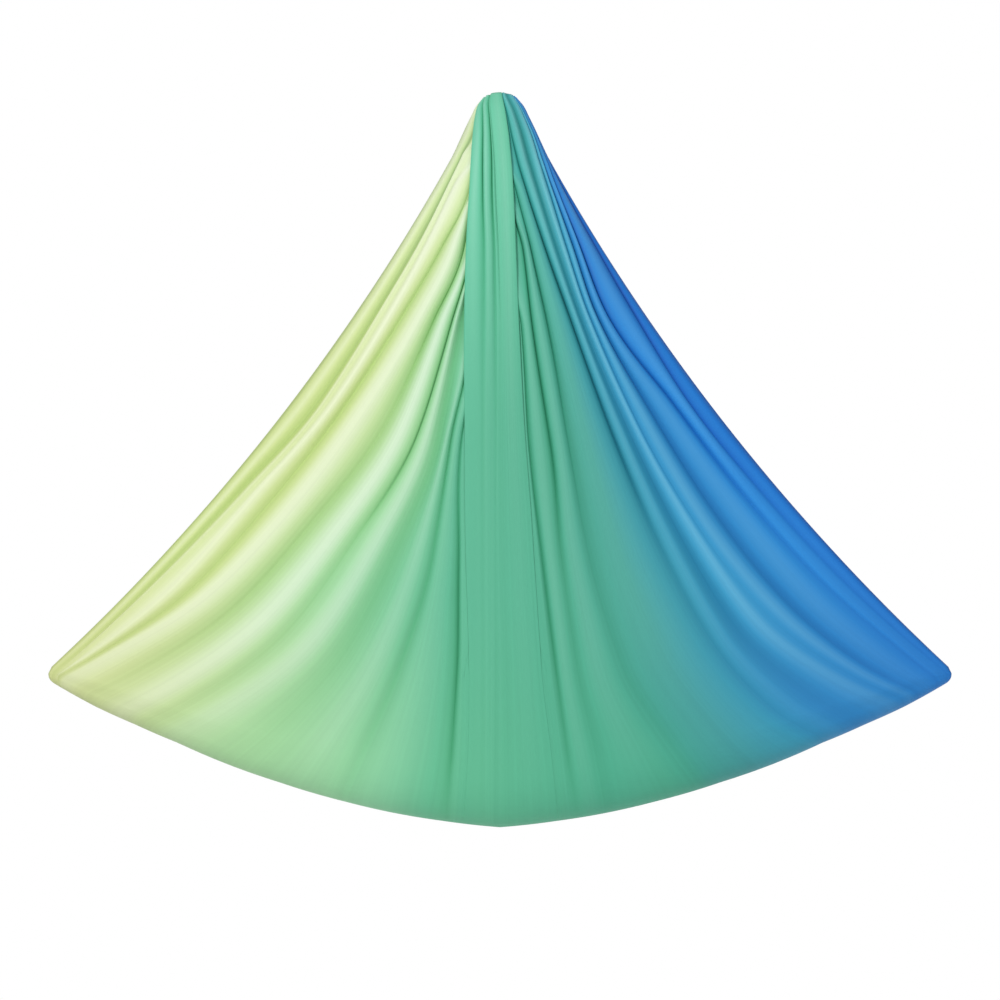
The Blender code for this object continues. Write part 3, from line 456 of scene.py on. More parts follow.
def make_mesh_object(name: str, points: np.ndarray, faces: list, places: Optional[np.ndarray],
                     material: bpy.types.Material) -> bpy.types.Object:
    """Make a smooth mesh object, with its place on the cloth as a UV map.

    Args:
        name: The piece's name.
        points: Vertices, one row each.
        faces: Vertex numbers of each face.
        places: Place across and along the cloth of each vertex and its lay, which sets
            the painted highlight and shade there, or None.
        material: Its material.

    Returns:
        The object, linked to the scene.
    """
    mesh = bpy.data.meshes.new(name)
    mesh.from_pydata(points.tolist(), [], faces)
    if places is not None:
        loops = np.empty(len(mesh.loops), dtype=np.int32)
        mesh.loops.foreach_get("vertex_index", loops)
        # the lay map tells the material where to paint highlight and shade
        for name_of_map, columns in (("cloth", (0, 1)), ("lay", (2, 2))):
            layer = mesh.uv_layers.new(name=name_of_map)
            picked = places[:, columns][loops].astype(np.float32)
            layer.data.foreach_set("uv", picked.ravel())
    mesh.polygons.foreach_set("use_smooth", np.ones(len(mesh.polygons), dtype=bool))
    mesh.materials.append(material)
    mesh.update()
    made = bpy.data.objects.new(name, mesh)
    bpy.context.scene.collection.objects.link(made)
    return made


def grid_normals(points: np.ndarray) -> np.ndarray:
    """Unit normals of a grid of points, rows by columns by three."""
    normals = np.cross(np.gradient(points, axis=0), np.gradient(points, axis=1))
    return normals / np.maximum(np.linalg.norm(normals, axis=2, keepdims=True), TINY)


def closed_sheet(points: np.ndarray, places: np.ndarray,
                 thickness: float) -> tuple[np.ndarray, list, np.ndarray]:
    """Give a grid of points a thickness and close its edges.

    Args:
        points: Rows by columns by three.
        places: Rows by columns by three: the place on the cloth, and its lay for the painted
            highlight and shade.
        thickness: The cloth's thickness.

    Returns:
        Vertices, faces and each vertex's place.
    """
    rows, columns = points.shape[:2]
    out = grid_normals(points) * thickness / 2
    both = np.concatenate([(points + out).reshape(-1, 3), (points - out).reshape(-1, 3)])
    index = np.arange(rows * columns).reshape(rows, columns)
    a, b = index[:-1, :-1].ravel(), index[1:, :-1].ravel()
    c, d = index[1:, 1:].ravel(), index[:-1, 1:].ravel()
    shift = rows * columns
    faces = [np.stack([a, b, c, d], axis=1), np.stack([a, d, c, b], axis=1) + shift]
    for line in (index[:, 0], index[-1, :], index[::-1, -1], index[0, ::-1]):
        first, second = line[:-1], line[1:]
        faces.append(np.stack([first, first + shift, second + shift, second], axis=1))
    flat = places.reshape(-1, 3)
    return both, np.concatenate(faces).tolist(), np.concatenate([flat, flat])


def lofted(rings: np.ndarray, joined: bool = False) -> list:
    """Faces of a closed loft through rings of points.

    Args:
        rings: Rings by points by three.
        joined: Whether the last ring joins the first. The two ends are capped otherwise.

    Returns:
        The faces' vertex numbers.
    """
    count, ring = rings.shape[:2]
    faces = []
    for i in range(count if joined else count - 1):
        here, there = i * ring, (i + 1) % count * ring
        for j in range(ring):
            k = (j + 1) % ring
            faces.append((here + j, here + k, there + k, there + j))
    if not joined:
        faces.append(tuple(range(ring - 1, -1, -1)))
        faces.append(tuple((count - 1) * ring + j for j in range(ring)))
    return faces


def flowing(x: np.ndarray, places: Sequence[float], values: np.ndarray) -> np.ndarray:
    """Smooth curve through rows of values that never overshoots between two of them.

    Args:
        x: Where to read, one number a row.
        places: Rising places of the values.
        values: One row of numbers for each place.

    Returns:
        One row of numbers for each x.
    """
    xs = np.asarray(places, dtype=float)
    gaps = np.diff(xs)[:, None]
    slopes = np.diff(values, axis=0) / gaps
    tangent = np.zeros_like(values)
    same = slopes[:-1] * slopes[1:] > 0
    left, right = slopes[:-1], slopes[1:]
    w1, w2 = 2 * gaps[1:] + gaps[:-1], gaps[1:] + 2 * gaps[:-1]
    with np.errstate(divide="ignore", invalid="ignore"):
        mean = (w1 + w2) / (w1 / left + w2 / right)
    tangent[1:-1] = np.where(same, np.nan_to_num(mean), 0.0)
    tangent[0], tangent[-1] = slopes[0], slopes[-1]
    k = np.clip(np.searchsorted(xs, x, side="right") - 1, 0, len(xs) - 2)
    h = (xs[k + 1] - xs[k])[:, None]
    t = np.clip((x - xs[k])[:, None] / h, 0.0, 1.0)
    return ((2 * t**3 - 3 * t**2 + 1) * values[k] + (t**3 - 2 * t**2 + t) * h * tangent[k]
            + (-2 * t**3 + 3 * t**2) * values[k + 1] + (t**3 - t**2) * h * tangent[k + 1])


def smooth_between(x: np.ndarray, places: Sequence[float], values: Sequence[float]) -> np.ndarray:
    """Smooth curve through a list of values, without overshoot.

    Args:
        x: Where to read, an array of any shape.
        places: Rising places of the values.
        values: The values.

    Returns:
        The values at x, in its shape.
    """
    at = np.asarray(x, dtype=float)
    listed = np.asarray(values, dtype=float)[:, None]
    return flowing(at.ravel(), places, listed)[:, 0].reshape(at.shape)


def spline_weights(count: int, per_span: int) -> np.ndarray:
    """Weights that turn control points into points on a smooth curve near them.

    Args:
        count: How many control points there are.
        per_span: Samples for each span between two of them.

    Returns:
        Samples by control points.
    """
    rows = []
    for k in range((count - 1) * per_span + 1):
        i, t = divmod(k, per_span)
        t /= per_span
        w = ((1 - t)**3 / 6, (3 * t**3 - 6 * t**2 + 4) / 6,
             (-3 * t**3 + 3 * t**2 + 3 * t + 1) / 6, t**3 / 6)
        row = np.zeros(count)
        for offset, weight in enumerate(w):
            row[min(max(i - 1 + offset, 0), count - 1)] += weight
        rows.append(row)
    ends = np.eye(count)
    rows[0], rows[-1] = ends[0], ends[-1]
    return np.array(rows)


def cloth_places(across: np.ndarray, along: np.ndarray, lay: np.ndarray,
                 shape: tuple[int, int]) -> np.ndarray:
    """Spread the three numbers that the dyed cloth's material reads over a grid.

    Args:
        across: Place across the flat cloth of each column, from 0 to 1.
        along: Place along the cloth of each row, from the head to the bottom.
        lay: How the knit lies, which sets the painted highlight and shade, for each point or each
            column.
        shape: Rows and columns.

    Returns:
        Rows by columns by three.
    """
    return np.stack([np.broadcast_to(across, shape), np.broadcast_to(along[:, None], shape),
                     np.broadcast_to(lay, shape)], axis=-1)


# Fold lines of the cloth

STATIONS = (0.04, 0.07, 0.10, 0.13, 0.17, 0.25, 0.35, 0.50, 0.65, 0.80, 0.92, 1.00)
DEPTH_STATIONS = (0.04, 0.13, 0.25, 0.50, 0.70, 0.90, 1.00)
# lays of whole folds: PULLED paints a ridge's full highlight, HALF_PULLED half of it, EVEN a faint
# one
PULLED = (1,) * len(DEPTH_STATIONS)
HALF_PULLED = (.75, .75, .75, .75, .75, .7, .6)
EVEN = (.6,) * len(DEPTH_STATIONS)


@dataclass(frozen=True)
class Fold:
    """One lengthwise line of the cloth, from the head to the bottom.

    Its place shares are shares of the fan's half width at the stations. Where there are
    fewer than stations, the line runs under the centre strip above its first one. Its
    depths are millimetres inward at the depth stations, and its lay says there how the
    knit lies and what light is painted on it: 1 over a ridge, with painted highlight, 0
    in a fold, with painted shade, below 0 shut in a crease, with darker painted shade.
    """

    kind: FoldKind
    place_shares: tuple
    depths_mm: tuple = (0,) * len(DEPTH_STATIONS)
    lay: tuple = PULLED


RIDGE, VALLEY, GROOVE = FoldKind.RIDGE, FoldKind.VALLEY, FoldKind.GROOVE

FOLDS = {
    "left_selvedge": Fold(FoldKind.SELVEDGE, (-1,) * len(STATIONS)),
    "left_band": Fold(
        RIDGE, (-.98, -.96, -.90, -.93, -.94, -.95, -.95, -.955, -.975, -.985, -.99, -.995),
        lay=HALF_PULLED),
    "left_line": Fold(
        VALLEY, (-.77, -.855, -.87, -.88, -.89, -.90, -.95, -.97, -.98, -.99),
        (2, 9, 15, 15, 12, 6, 0), (-.3, -.3, -.2, -.05, 0, .1, .3)),
    "left_roll": Fold(
        RIDGE, (-.80, -.82, -.83, -.86, -.875, -.93, -.96, -.975, -.98), lay=HALF_PULLED),
    "left_dip": Fold(
        VALLEY, (-.70, -.775, -.80, -.835, -.86, -.915, -.955, -.972, -.975),
        (3, 5, 4, 2, 1, 0, 0), EVEN),
    "panel_1": Fold(
        RIDGE, (-.72, -.755, -.79, -.835, -.90, -.92, -.955, -.985), (0, 0, -1, -2, -2, -1, 0)),
    "groove_1": Fold(
        GROOVE, (-.50, -.62, -.715, -.785, -.84, -.88, -.94, -.98),
        (2, 10, 16, 17, 14, 7, 0), (-.25, -.25, -.1, .1, .1, .2, .3)),
    "panel_2": Fold(RIDGE, (-.49, -.59, -.70, -.77, -.84, -.925, -.97)),
    "groove_2": Fold(
        GROOVE, (-.39, -.49, -.565, -.675, -.755, -.845, -.905),
        (3, 12, 18, 20, 20, 11, 0), (-.3, -.3, -.2, .1, .1, .2, .35)),
    "panel_3": Fold(RIDGE, (-.42, -.475, -.58, -.67, -.765, -.83)),
    "groove_3": Fold(
        GROOVE, (-.355, -.40, -.51, -.595, -.70, -.775),
        (3, 8, 12, 12, 7, 3, 0), (-.45, -.45, -.45, -.30, .15, .25, .4)),
    "panel_4": Fold(
        RIDGE, (-.325, -.35, -.435, -.52, -.64, -.72), lay=(.75, .75, .75, .8, .85, .85, .7)),
    "groove_4": Fold(
        VALLEY, (-.29, -.29, -.36, -.43, -.52, -.58),
        (2, 8, 13, 17, 16, 8, 0), (0, 0, 0, .1, .15, .25, .35)),
    "thin_ridge": Fold(RIDGE, (-.26, -.29, -.34, -.40, -.44), lay=HALF_PULLED),
    "groove_5": Fold(
        GROOVE, (-.235, -.235, -.27, -.31, -.33),
        (3, 6, 8, 9, 7, 4, 0), (-.2, -.2, -.2, .05, .1, .2, .35)),
    "panel_6": Fold(RIDGE, (-.21, -.20, -.21, -.23, -.24), lay=EVEN),
    "strip_shadow": Fold(
        GROOVE, (-.185, -.143, -.116, -.112, -.112),
        (3, 6, 8, 8, 9, 7, 0), (.1, .1, .1, .1, -.2, -.15, .2)),
    "strip_edge": Fold(
        FoldKind.TUCK_LEFT,
        (-1.0, -.87, -.73, -.62, -.49, -.355, -.255, -.165, -.12, -.09, -.08, -.08)),
    "strip_ridge_1": Fold(
        RIDGE, (-.98, -.79, -.60, -.505, -.41, -.28, -.19, -.12, -.09, -.07, -.06, -.06),
        lay=(.9, .9, .7, .5, .5, .5, .5)),
    "strip_valley": Fold(
        GROOVE, (-.90, -.63, -.47, -.38, -.28, -.17, -.12, -.08, -.06, -.045, -.04, -.04),
        (5, 9, 7, 2, 0, 0, 0), (-.3, -.35, .1, .4, .45, .45, .45)),
    "strip_ridge_2": Fold(
        RIDGE, (-.80, -.53, -.39, -.31, -.225, -.125, -.08, -.05, -.035, -.03, -.025, -.02),
        lay=(.9, .9, .7, .5, .5, .5, .5)),
    "strip_dark": Fold(
        GROOVE, (-.63, -.39, -.25, -.18, -.13, -.06, -.035, -.02, -.015, -.01, -.01, -.01),
        (6, 10, 7, 2, 0, 0, 0), (-.3, -.3, .15, .4, .45, .45, .45)),
    "panel_edge_left": Fold(
        FoldKind.LAP, (-.52, -.31, -.18, -.105, -.06, -.015, 0, 0, .005, .01, .01, .01)),
    "panel_middle": Fold(
        RIDGE, (-.22, -.05, .03, .055, .075, .08, .07, .065, .065, .07, .07, .07),
        lay=(.8, .8, .75, .6, .55, .55, .5)),
    "panel_edge_right": Fold(
        FoldKind.TUCK_RIGHT, (.09, .20, .235, .235, .21, .165, .135, .12, .12, .12, .125, .125)),
    "beside_panel": Fold(
        GROOVE, (.155, .138, .147, .152, .155, .16),
        (2, 5, 7, 9, 9, 4, 0), (-.1, -.1, -.1, 0, 0, .1, .35)),
    "thin_ridge_right": Fold(RIDGE, (.195, .185, .175, .175, .185, .19), lay=HALF_PULLED),
    "line_a": Fold(
        GROOVE, (.25, .235, .24, .215, .21, .22, .22),
        (3, 8, 12, 12, 6, 3, 0), (-.35, -.35, -.35, -.15, .25, .35, .4)),
    "roll_ab": Fold(RIDGE, (.29, .29, .28, .255, .26, .30, .32), lay=HALF_PULLED),
    "groove_b": Fold(
        GROOVE, (.26, .33, .345, .325, .31, .33, .39, .43),
        (3, 8, 11, 9, 6, 3, 0), (-.3, -.3, -.3, .05, .25, .35, .4)),
    "panel_bc": Fold(RIDGE, (.35, .41, .43, .43, .43, .46, .52, .57), lay=EVEN),
    "line_r": Fold(
        GROOVE, (.27, .33, .385, .43, .485, .52, .535, .55, .575, .63, .70),
        (3, 10, 15, 14, 7, 3, 0), (-.4, -.4, -.4, -.2, .15, .3, .4)),
    "light_patch": Fold(
        RIDGE, (.20, .42, .49, .51, .53, .545, .56, .575, .59, .61, .67, .74),
        lay=(.9, .9, .8, .7, .6, .6, .6)),
    "broad_dark": Fold(
        VALLEY, (.37, .60, .655, .66, .64, .61, .595, .61, .625, .65, .72, .78),
        (3, 12, 14, 14, 14, 8, 0), (-.1, -.1, -.1, -.05, -.05, .2, .35)),
    "bright_ridge": Fold(RIDGE, (.67, .77, .79, .77, .71, .66, .63, .645, .675, .71, .795, .87)),
    "thin_line": Fold(
        GROOVE, (.70, .83, .86, .83, .78, .70, .655, .665, .695, .74, .82, .89),
        (1, 6, 7, 5, 3, 1, 0), (-.3, -.3, -.1, .2, .45, .5, .5)),
    "bright_ridge_2": Fold(
        RIDGE, (.73, .855, .88, .86, .80, .73, .68, .70, .72, .77, .84, .905),
        lay=(.8, .8, .8, .85, .9, .9, .8)),
    "groove_f": Fold(
        GROOVE, (.80, .89, .91, .89, .84, .775, .71, .75, .775, .81, .865, .92),
        (3, 12, 14, 13, 11, 5, 0), (-.4, -.4, -.3, .05, .15, .2, .3)),
    "blue_ridge": Fold(
        RIDGE, (.88, .94, .955, .945, .88, .81, .745, .81, .84, .865, .905, .945),
        lay=HALF_PULLED),
    "groove_h": Fold(
        GROOVE, (.93, .965, .975, .96, .90, .84, .78, .865, .895, .92, .95, .965),
        (2, 8, 14, 13, 9, 4, 0), (-.3, -.3, -.4, -.1, .2, .3, .3)),
    "outer_panel": Fold(
        RIDGE, (.965, .98, .983, .98, .945, .905, .875, .90, .92, .94, .965, .98),
        lay=(.6, .7, .8, .7, .5, .5, .5)),
    "right_line": Fold(
        GROOVE, (.98, .99, .99, .99, .98, .975, .955, .93, .95, .965, .98, .99),
        (1, 5, 9, 9, 5, 2, 0), (-.2, -.3, -.3, -.1, .2, .3, .4)),
    "right_selvedge": Fold(FoldKind.SELVEDGE, (1,) * len(STATIONS)),
}


# Cloth


@dataclass(frozen=True)
class Fan:
    """The plain hanging form of one half: a dome at the head that opens into a wide fan.

    Lengths are metres. Shares are of the fan's radius, and places run from -1 to 1.
    """

    radius: float = 2.220
    apex: float = 0.107
    half_angle_deg: float = 25.7
    angle_growth_deg: float = 11.1
    corner_radius: float = 0.040
    first_share: float = 0.0392
    dome_shares: tuple = (0.0392, 0.056, 0.070, 0.095, 0.135)
    dome_drop: tuple = (0.0197, 0.0134, 0.009, 0.003, 0.0)
    dome_half_width: tuple = (0.0474, 0.069, 0.0797, 0.0991, 0.130)
    pocket_shares: tuple = (0.0392, 0.056, 0.095, 0.135, 0.25, 0.45, 0.70, 0.90, 1.00)
    pocket_middle: tuple = (0.046, 0.068, 0.094, 0.112, 0.130, 0.146, 0.152, 0.150, 0.150)
    pocket_edge: tuple = (0.006, 0.006, 0.008, 0.012, 0.030, 0.055, 0.060, 0.035, 0.016)
    pocket_roundness: float = 0.62
    hem_places: tuple = (0.0, 0.12, 0.33, 0.475, 0.71, 0.81, 0.90, 1.0)
    hem_rise_shares: tuple = (0.0, 0.0055, 0.0125, 0.0155, 0.0155, 0.0113, 0.0052, 0.0)
    hem_rise_power: int = 4

    def half_angle(self, share: np.ndarray) -> np.ndarray:
        """Half the fan's opening angle, rounded off at the two bottom corners.

        Args:
            share: Share of the fan's radius.

        Returns:
            The angle in radians.
        """
        angle = np.radians(self.half_angle_deg + self.angle_growth_deg * share)
        corner = np.clip((share - 1) * self.radius / self.corner_radius + 1, 0, 1)
        return angle - self.corner_radius * (1 - np.sqrt(1 - corner**2)) / self.radius

    def half_width(self, share: np.ndarray) -> np.ndarray:
        """Half the cloth's width as hung.

        Args:
            share: Share of the fan's radius.

        Returns:
            The half width.
        """
        fan = share * self.radius * np.sin(self.half_angle(share))
        dome = smooth_between(share, self.dome_shares, self.dome_half_width)
        return np.where(share < self.dome_shares[-1], dome, fan)

    def pocket(self, share: np.ndarray, place: np.ndarray) -> np.ndarray:
        """Half the depth between the two halves of the cloth.

        Args:
            share: Share of the fan's radius.
            place: Place across.

        Returns:
            The half depth.
        """
        middle = smooth_between(share, self.pocket_shares, self.pocket_middle)
        edge = smooth_between(share, self.pocket_shares, self.pocket_edge)
        crown = np.maximum(0.0, 1 - np.clip(place, -1, 1)**2) ** self.pocket_roundness
        return edge + (middle - edge) * crown

    def surface(self, share: np.ndarray, place: np.ndarray, half_pocket: np.ndarray) -> np.ndarray:
        """Points of the front half before its folds are pushed in.

        Args:
            share: Share of the fan's radius.
            place: Place across.
            half_pocket: Distance from the middle plane.

        Returns:
            The points, in the shape of the inputs with one more axis of three.
        """
        rise = np.interp(np.abs(place), self.hem_places, self.hem_rise_shares)
        radius = share * self.radius * (1 - rise * share**self.hem_rise_power)
        angle = self.half_angle(share) * place
        dome_end, dome_width = self.dome_shares[-1], self.dome_half_width[-1]
        dome = smooth_between(share, self.dome_shares, self.dome_half_width) / dome_width
        widening = np.where(share < dome_end, dome * dome_end / share, 1.0)
        drop = smooth_between(share, self.dome_shares, self.dome_drop) * place**2
        return np.stack([radius * np.sin(angle) * widening, -half_pocket,
                         self.apex - radius * np.cos(angle) - drop], axis=-1)


@dataclass(frozen=True)
class StripPleats:
    """Pleats stacked under the centre strip, which open out into the fan lower down.

    Widths are millimetres at the stations. A depth is millimetres where the stack is
    tallest, and then the least that is left where it has opened out.
    """

    stations: tuple = (0.04, 0.07, 0.13, 0.25, 0.35, 0.48, 0.62, 0.80)
    widths_mm: dict = field(default_factory=lambda: {
        "left": (22, 42, 56, 84, 94, 98, 90, 0),
        "right": (18, 32, 44, 70, 84, 86, 78, 0),
        "out": (6, 20, 60, 150, 210, 180, 6, 0),
        "inset": (6, 10, 16, 26, 30, 30, 26, 0),
        "panel": (4, 8, 14, 20, 26, 26, 20, 0),
        "lip": (0.8, 1.2, 1.6, 2.2, 2.6, 2.8, 3, 2)})
    near_depths_mm: dict = field(default_factory=lambda: {"middle": (14, 1.0), "entry": (23, 1.5)})
    far_depths_mm: dict = field(default_factory=lambda: {"second": (38, 2.0), "third": (52, 2.0)})
    growth_shares: tuple = (0.04, 0.07, 0.13, 0.25, 0.35)
    growth: tuple = (0.34, 0.5, 0.74, 0.9, 1.0)
    flattening_shares: tuple = (0.56, 0.74)
    closing_shares: tuple = (0.20, 0.38, 0.52)
    closing: tuple = (1.0, 0.46, 0.14)
    far_closing: float = 0.7
    panel_opening_shares: tuple = (0.16, 0.36)
    spreading_shares: tuple = (0.58, 0.80)
    spread_mm: float = 6.0

    def sizes(self, at: np.ndarray, metre: np.ndarray) -> dict[str, np.ndarray]:
        """Sizes of the pleats down the cloth.

        Args:
            at: Shares of the fan's radius.
            metre: What one metre is there, as a place across.

        Returns:
            Widths as places across, and depths in metres.
        """
        found = {name: smooth_between(at, self.stations, widths) * MM * metre
                 for name, widths in self.widths_mm.items()}
        tall = (smooth_between(at, self.growth_shares, self.growth)
                * smooth_between(at, self.flattening_shares, (1.0, 0.0)))
        close = smooth_between(at, self.closing_shares, self.closing)
        far = 1 + self.far_closing * (close - 1)
        for depths, closed in ((self.near_depths_mm, close), (self.far_depths_mm, far)):
            for name, (depth, least) in depths.items():
                found[name] = (depth * tall * closed + least) * MM
        found["panel_shut"] = smooth_between(at, self.panel_opening_shares, (1.0, 0.0))
        found["spread"] = (smooth_between(at, self.spreading_shares, (0.0, self.spread_mm))
                           * MM * metre)
        return found


@dataclass
class FoldLines:
    """Control lines of one half: where each runs, how deep it lies and how its knit lies.

    The first of two values is for a sharp crease, and the second for a soft dip. Gaps are
    the distances to the next fold lines on either side.
    """

    fan: Fan = Fan()
    pleats: StripPleats = field(default_factory=StripPleats)
    samples: int = 160
    soft_lays: tuple = (-0.3, 0.2)
    groove_mouth_mm: tuple = (24.0, 44.0)
    groove_wall_mm: tuple = (3.5, 19.5)
    mouth_gap_share: float = 0.45
    wall_gap_shares: tuple = (0.12, 0.24)
    mouth_depth_share: float = 0.2
    wall_depth_share: float = 0.72
    floor_depth_share: float = 1.15
    # lays of the grooves' mouths and walls, for the painted highlight and shade
    mouth_lay: float = 0.55
    wall_lay: float = 0.25
    wall_lay_share: float = 0.5
    valley_gap_share: float = 0.22
    ridge_gap_share: float = 0.13
    ridge_height: float = 0.5 * MM
    # lays of the selvedges, tucks and lap, for the painted highlight and shade
    selvedge_lay: float = 0.15
    tuck_lay: float = 0.5
    lap_lay: float = 0.46
    hidden_ridge_share: float = 0.85
    hidden_groove_share: float = 1.35
    lap_opening: float = 1.2 * MM
    tuck_reach: float = 0.72
    tuck_spreading: float = 0.25

    def __post_init__(self) -> None:
        """Work out the shares down the cloth that the lines are kept at."""
        self.shares = np.linspace(self.fan.first_share, 1.0, self.samples)
        self.metre = 1 / self.fan.half_width(self.shares)
        self.sizes = self.pleats.sizes(self.shares, self.metre)

    def fold_tables(self) -> tuple[np.ndarray, np.ndarray]:
        """Place and depth of each fold line.

        Returns:
            Two arrays of shares by fold lines; depths are metres.
        """
        folds = list(FOLDS.values())
        kinds = [fold.kind for fold in folds]
        starts = [len(STATIONS) - len(fold.place_shares) for fold in folds]
        places = np.array([(0.0,) * start + fold.place_shares
                           for start, fold in zip(starts, folds)]).T
        hidden = np.arange(len(STATIONS))[:, None] < np.array(starts)
        tucks = {"left": (kinds.index(FoldKind.TUCK_LEFT), -1, 1),
                 "right": (kinds.index(FoldKind.TUCK_RIGHT), len(folds), -1)}
        for k, station in enumerate(STATIONS):
            row = int(np.argmin(np.abs(self.shares - station)))
            for side, (edge, outermost, inward) in tucks.items():
                under = [i for i in range(outermost + inward, edge, inward) if hidden[k, i]]
                room = self.sizes[side][row] - self.sizes["inset"][row]
                for n, i in enumerate(under):
                    places[k, i] = places[k, edge] + inward * room * (n + 1) / (len(under) + 1)
        depths = np.array([fold.depths_mm for fold in folds], dtype=float).T * MM
        flag = flowing(self.shares, STATIONS, hidden.astype(float))
        tucked = self.sizes["entry"][:, None] * np.where(
            [kind is RIDGE for kind in kinds], self.hidden_ridge_share, self.hidden_groove_share)
        return (flowing(self.shares, STATIONS, places),
                flowing(self.shares, DEPTH_STATIONS, depths) * (1 - flag) + tucked * flag)

    def groove(self, lay: np.ndarray, gaps: tuple, depths: tuple) -> list[tuple]:
        """Control lines of a groove: mouth, wall, floor, wall and mouth.

        Args:
            lay: How the knit lies in it.
            gaps: Gaps before and after it.
            depths: Depths of the line before, of the groove and of the line after.

        Returns:
            Shift, depth and lay of each line.
        """
        soft = np.clip((lay - self.soft_lays[0]) / (self.soft_lays[1] - self.soft_lays[0]), 0, 1)

        def between(pair: tuple) -> np.ndarray:
            """Value between that of a sharp crease and that of a soft dip."""
            return pair[0] + (pair[1] - pair[0]) * soft

        mouth, wall = (between(size) * MM * self.metre
                       for size in (self.groove_mouth_mm, self.groove_wall_mm))
        before, depth, after = depths
        walls, mouths = [], []
        for turned, gap, beside in ((-1, gaps[0], before), (1, gaps[1], after)):
            near = np.clip(gap * between(self.wall_gap_shares), -wall, wall)
            wide = np.clip(gap * self.mouth_gap_share, -mouth, mouth)
            level = self.mouth_depth_share * depth + (1 - self.mouth_depth_share) * beside
            walls.append((turned * near, self.wall_depth_share * depth,
                          self.wall_lay + self.wall_lay_share * lay))
            mouths.append((turned * wide, level, self.mouth_lay))
        floor = (0.0, self.floor_depth_share * depth, lay)
        return [mouths[0], walls[0], floor, floor, walls[1], mouths[1]]

    def lap(self) -> list[tuple]:
        """Control lines of the strip's edge that laps over the middle panel.

        Returns:
            Shift, depth and lay of each line.
        """
        shut = self.sizes["panel_shut"]
        lip, panel, middle = (self.sizes[name] for name in ("lip", "panel", "middle"))
        steps = ((-2 * lip, 0.62 * middle), (panel, 0.72 * middle), (1.1 * panel, 0.5 * middle),
                 (panel, 0.32 * middle), (lip, 0.30 * middle), (-lip, 0.1 * middle),
                 (0.4 * lip, -1.0 * MM), (3 * lip, -1.4 * MM))
        opened = (1 - shut) * self.lap_opening * self.metre
        return [(shift * shut + (n - (len(steps) - 1) / 2) * opened, sink * shut, self.lap_lay)
                for n, (shift, sink) in enumerate(steps)]

    def tuck(self, side: str, place: np.ndarray) -> list[tuple]:
        """Control lines of the pleats stacked behind one edge of the centre strip.

        Args:
            side: Which edge, left or right.
            place: Place of that edge.

        Returns:
            Shift, depth and lay of each line.
        """
        room = self.sizes[side]
        lip, middle, entry, second, third = (
            self.sizes[name] for name in ("lip", "middle", "entry", "second", "third"))
        inner = room - self.sizes["inset"]
        out = np.minimum(self.sizes["out"], np.maximum(0.0, self.tuck_reach - np.abs(place)))
        steps = [(-2 * lip, 0.9 * entry), (inner, entry), (1.05 * inner, (entry + second) / 2),
                 (inner, second), (-out, second), (-1.02 * out, (second + third) / 2),
                 (-out, third), (0.9 * room, third), (room, second), (room, entry),
                 (0.9 * room, middle), (0.4 * room, middle), (lip, 0.9 * middle),
                 (-lip, 0.45 * middle), (-0.2 * lip, 0.0), (2.5 * lip, -0.6 * MM)]
        turned = 1 if side == "left" else -1
        spread = self.sizes["spread"] * self.tuck_spreading
        return [(turned * shift + (n - (len(steps) - 1) / 2) * spread, sink, self.tuck_lay)
                for n, (shift, sink) in enumerate(steps[::turned])]

    def control_lines(self) -> tuple[np.ndarray, np.ndarray, np.ndarray]:
        """Control points across the cloth at each share.

        Returns:
            Their places, their depths in metres, and how the knit lies at each, which sets the
            painted highlight and shade.
        """
        place, depth = self.fold_tables()
        zero = np.zeros(self.samples)
        gaps = np.concatenate([zero[:, None], np.diff(place, axis=1), zero[:, None]], axis=1)
        kept = []
        for i, fold in enumerate(FOLDS.values()):
            v, d, before, after = place[:, i], depth[:, i], gaps[:, i], gaps[:, i + 1]
            lay = smooth_between(self.shares, DEPTH_STATIONS, fold.lay)
            if fold.kind is GROOVE:
                lines = self.groove(lay, (before, after), (depth[:, i - 1], d, depth[:, i + 1]))
            elif fold.kind is FoldKind.LAP:
                lines = self.lap()
            elif fold.kind is FoldKind.TUCK_LEFT:
                lines = self.tuck("left", v)
            elif fold.kind is FoldKind.TUCK_RIGHT:
                lines = self.tuck("right", v)
            elif fold.kind is FoldKind.SELVEDGE:
                lines = [(0.0, d, self.selvedge_lay)]
            else:
                share, rise = ((self.ridge_gap_share, self.ridge_height) if fold.kind is RIDGE
                               else (self.valley_gap_share, 0.0))
                lines = [(-before * share, d - rise, lay), (after * share, d - rise, lay)]
            kept += [(v + shift, zero + sink, zero + painted_light_lay) for shift, sink, painted_light_lay in lines]
        columns, sinks, painted_light_lays = np.array(kept).transpose(1, 2, 0)
        return columns, sinks, painted_light_lays


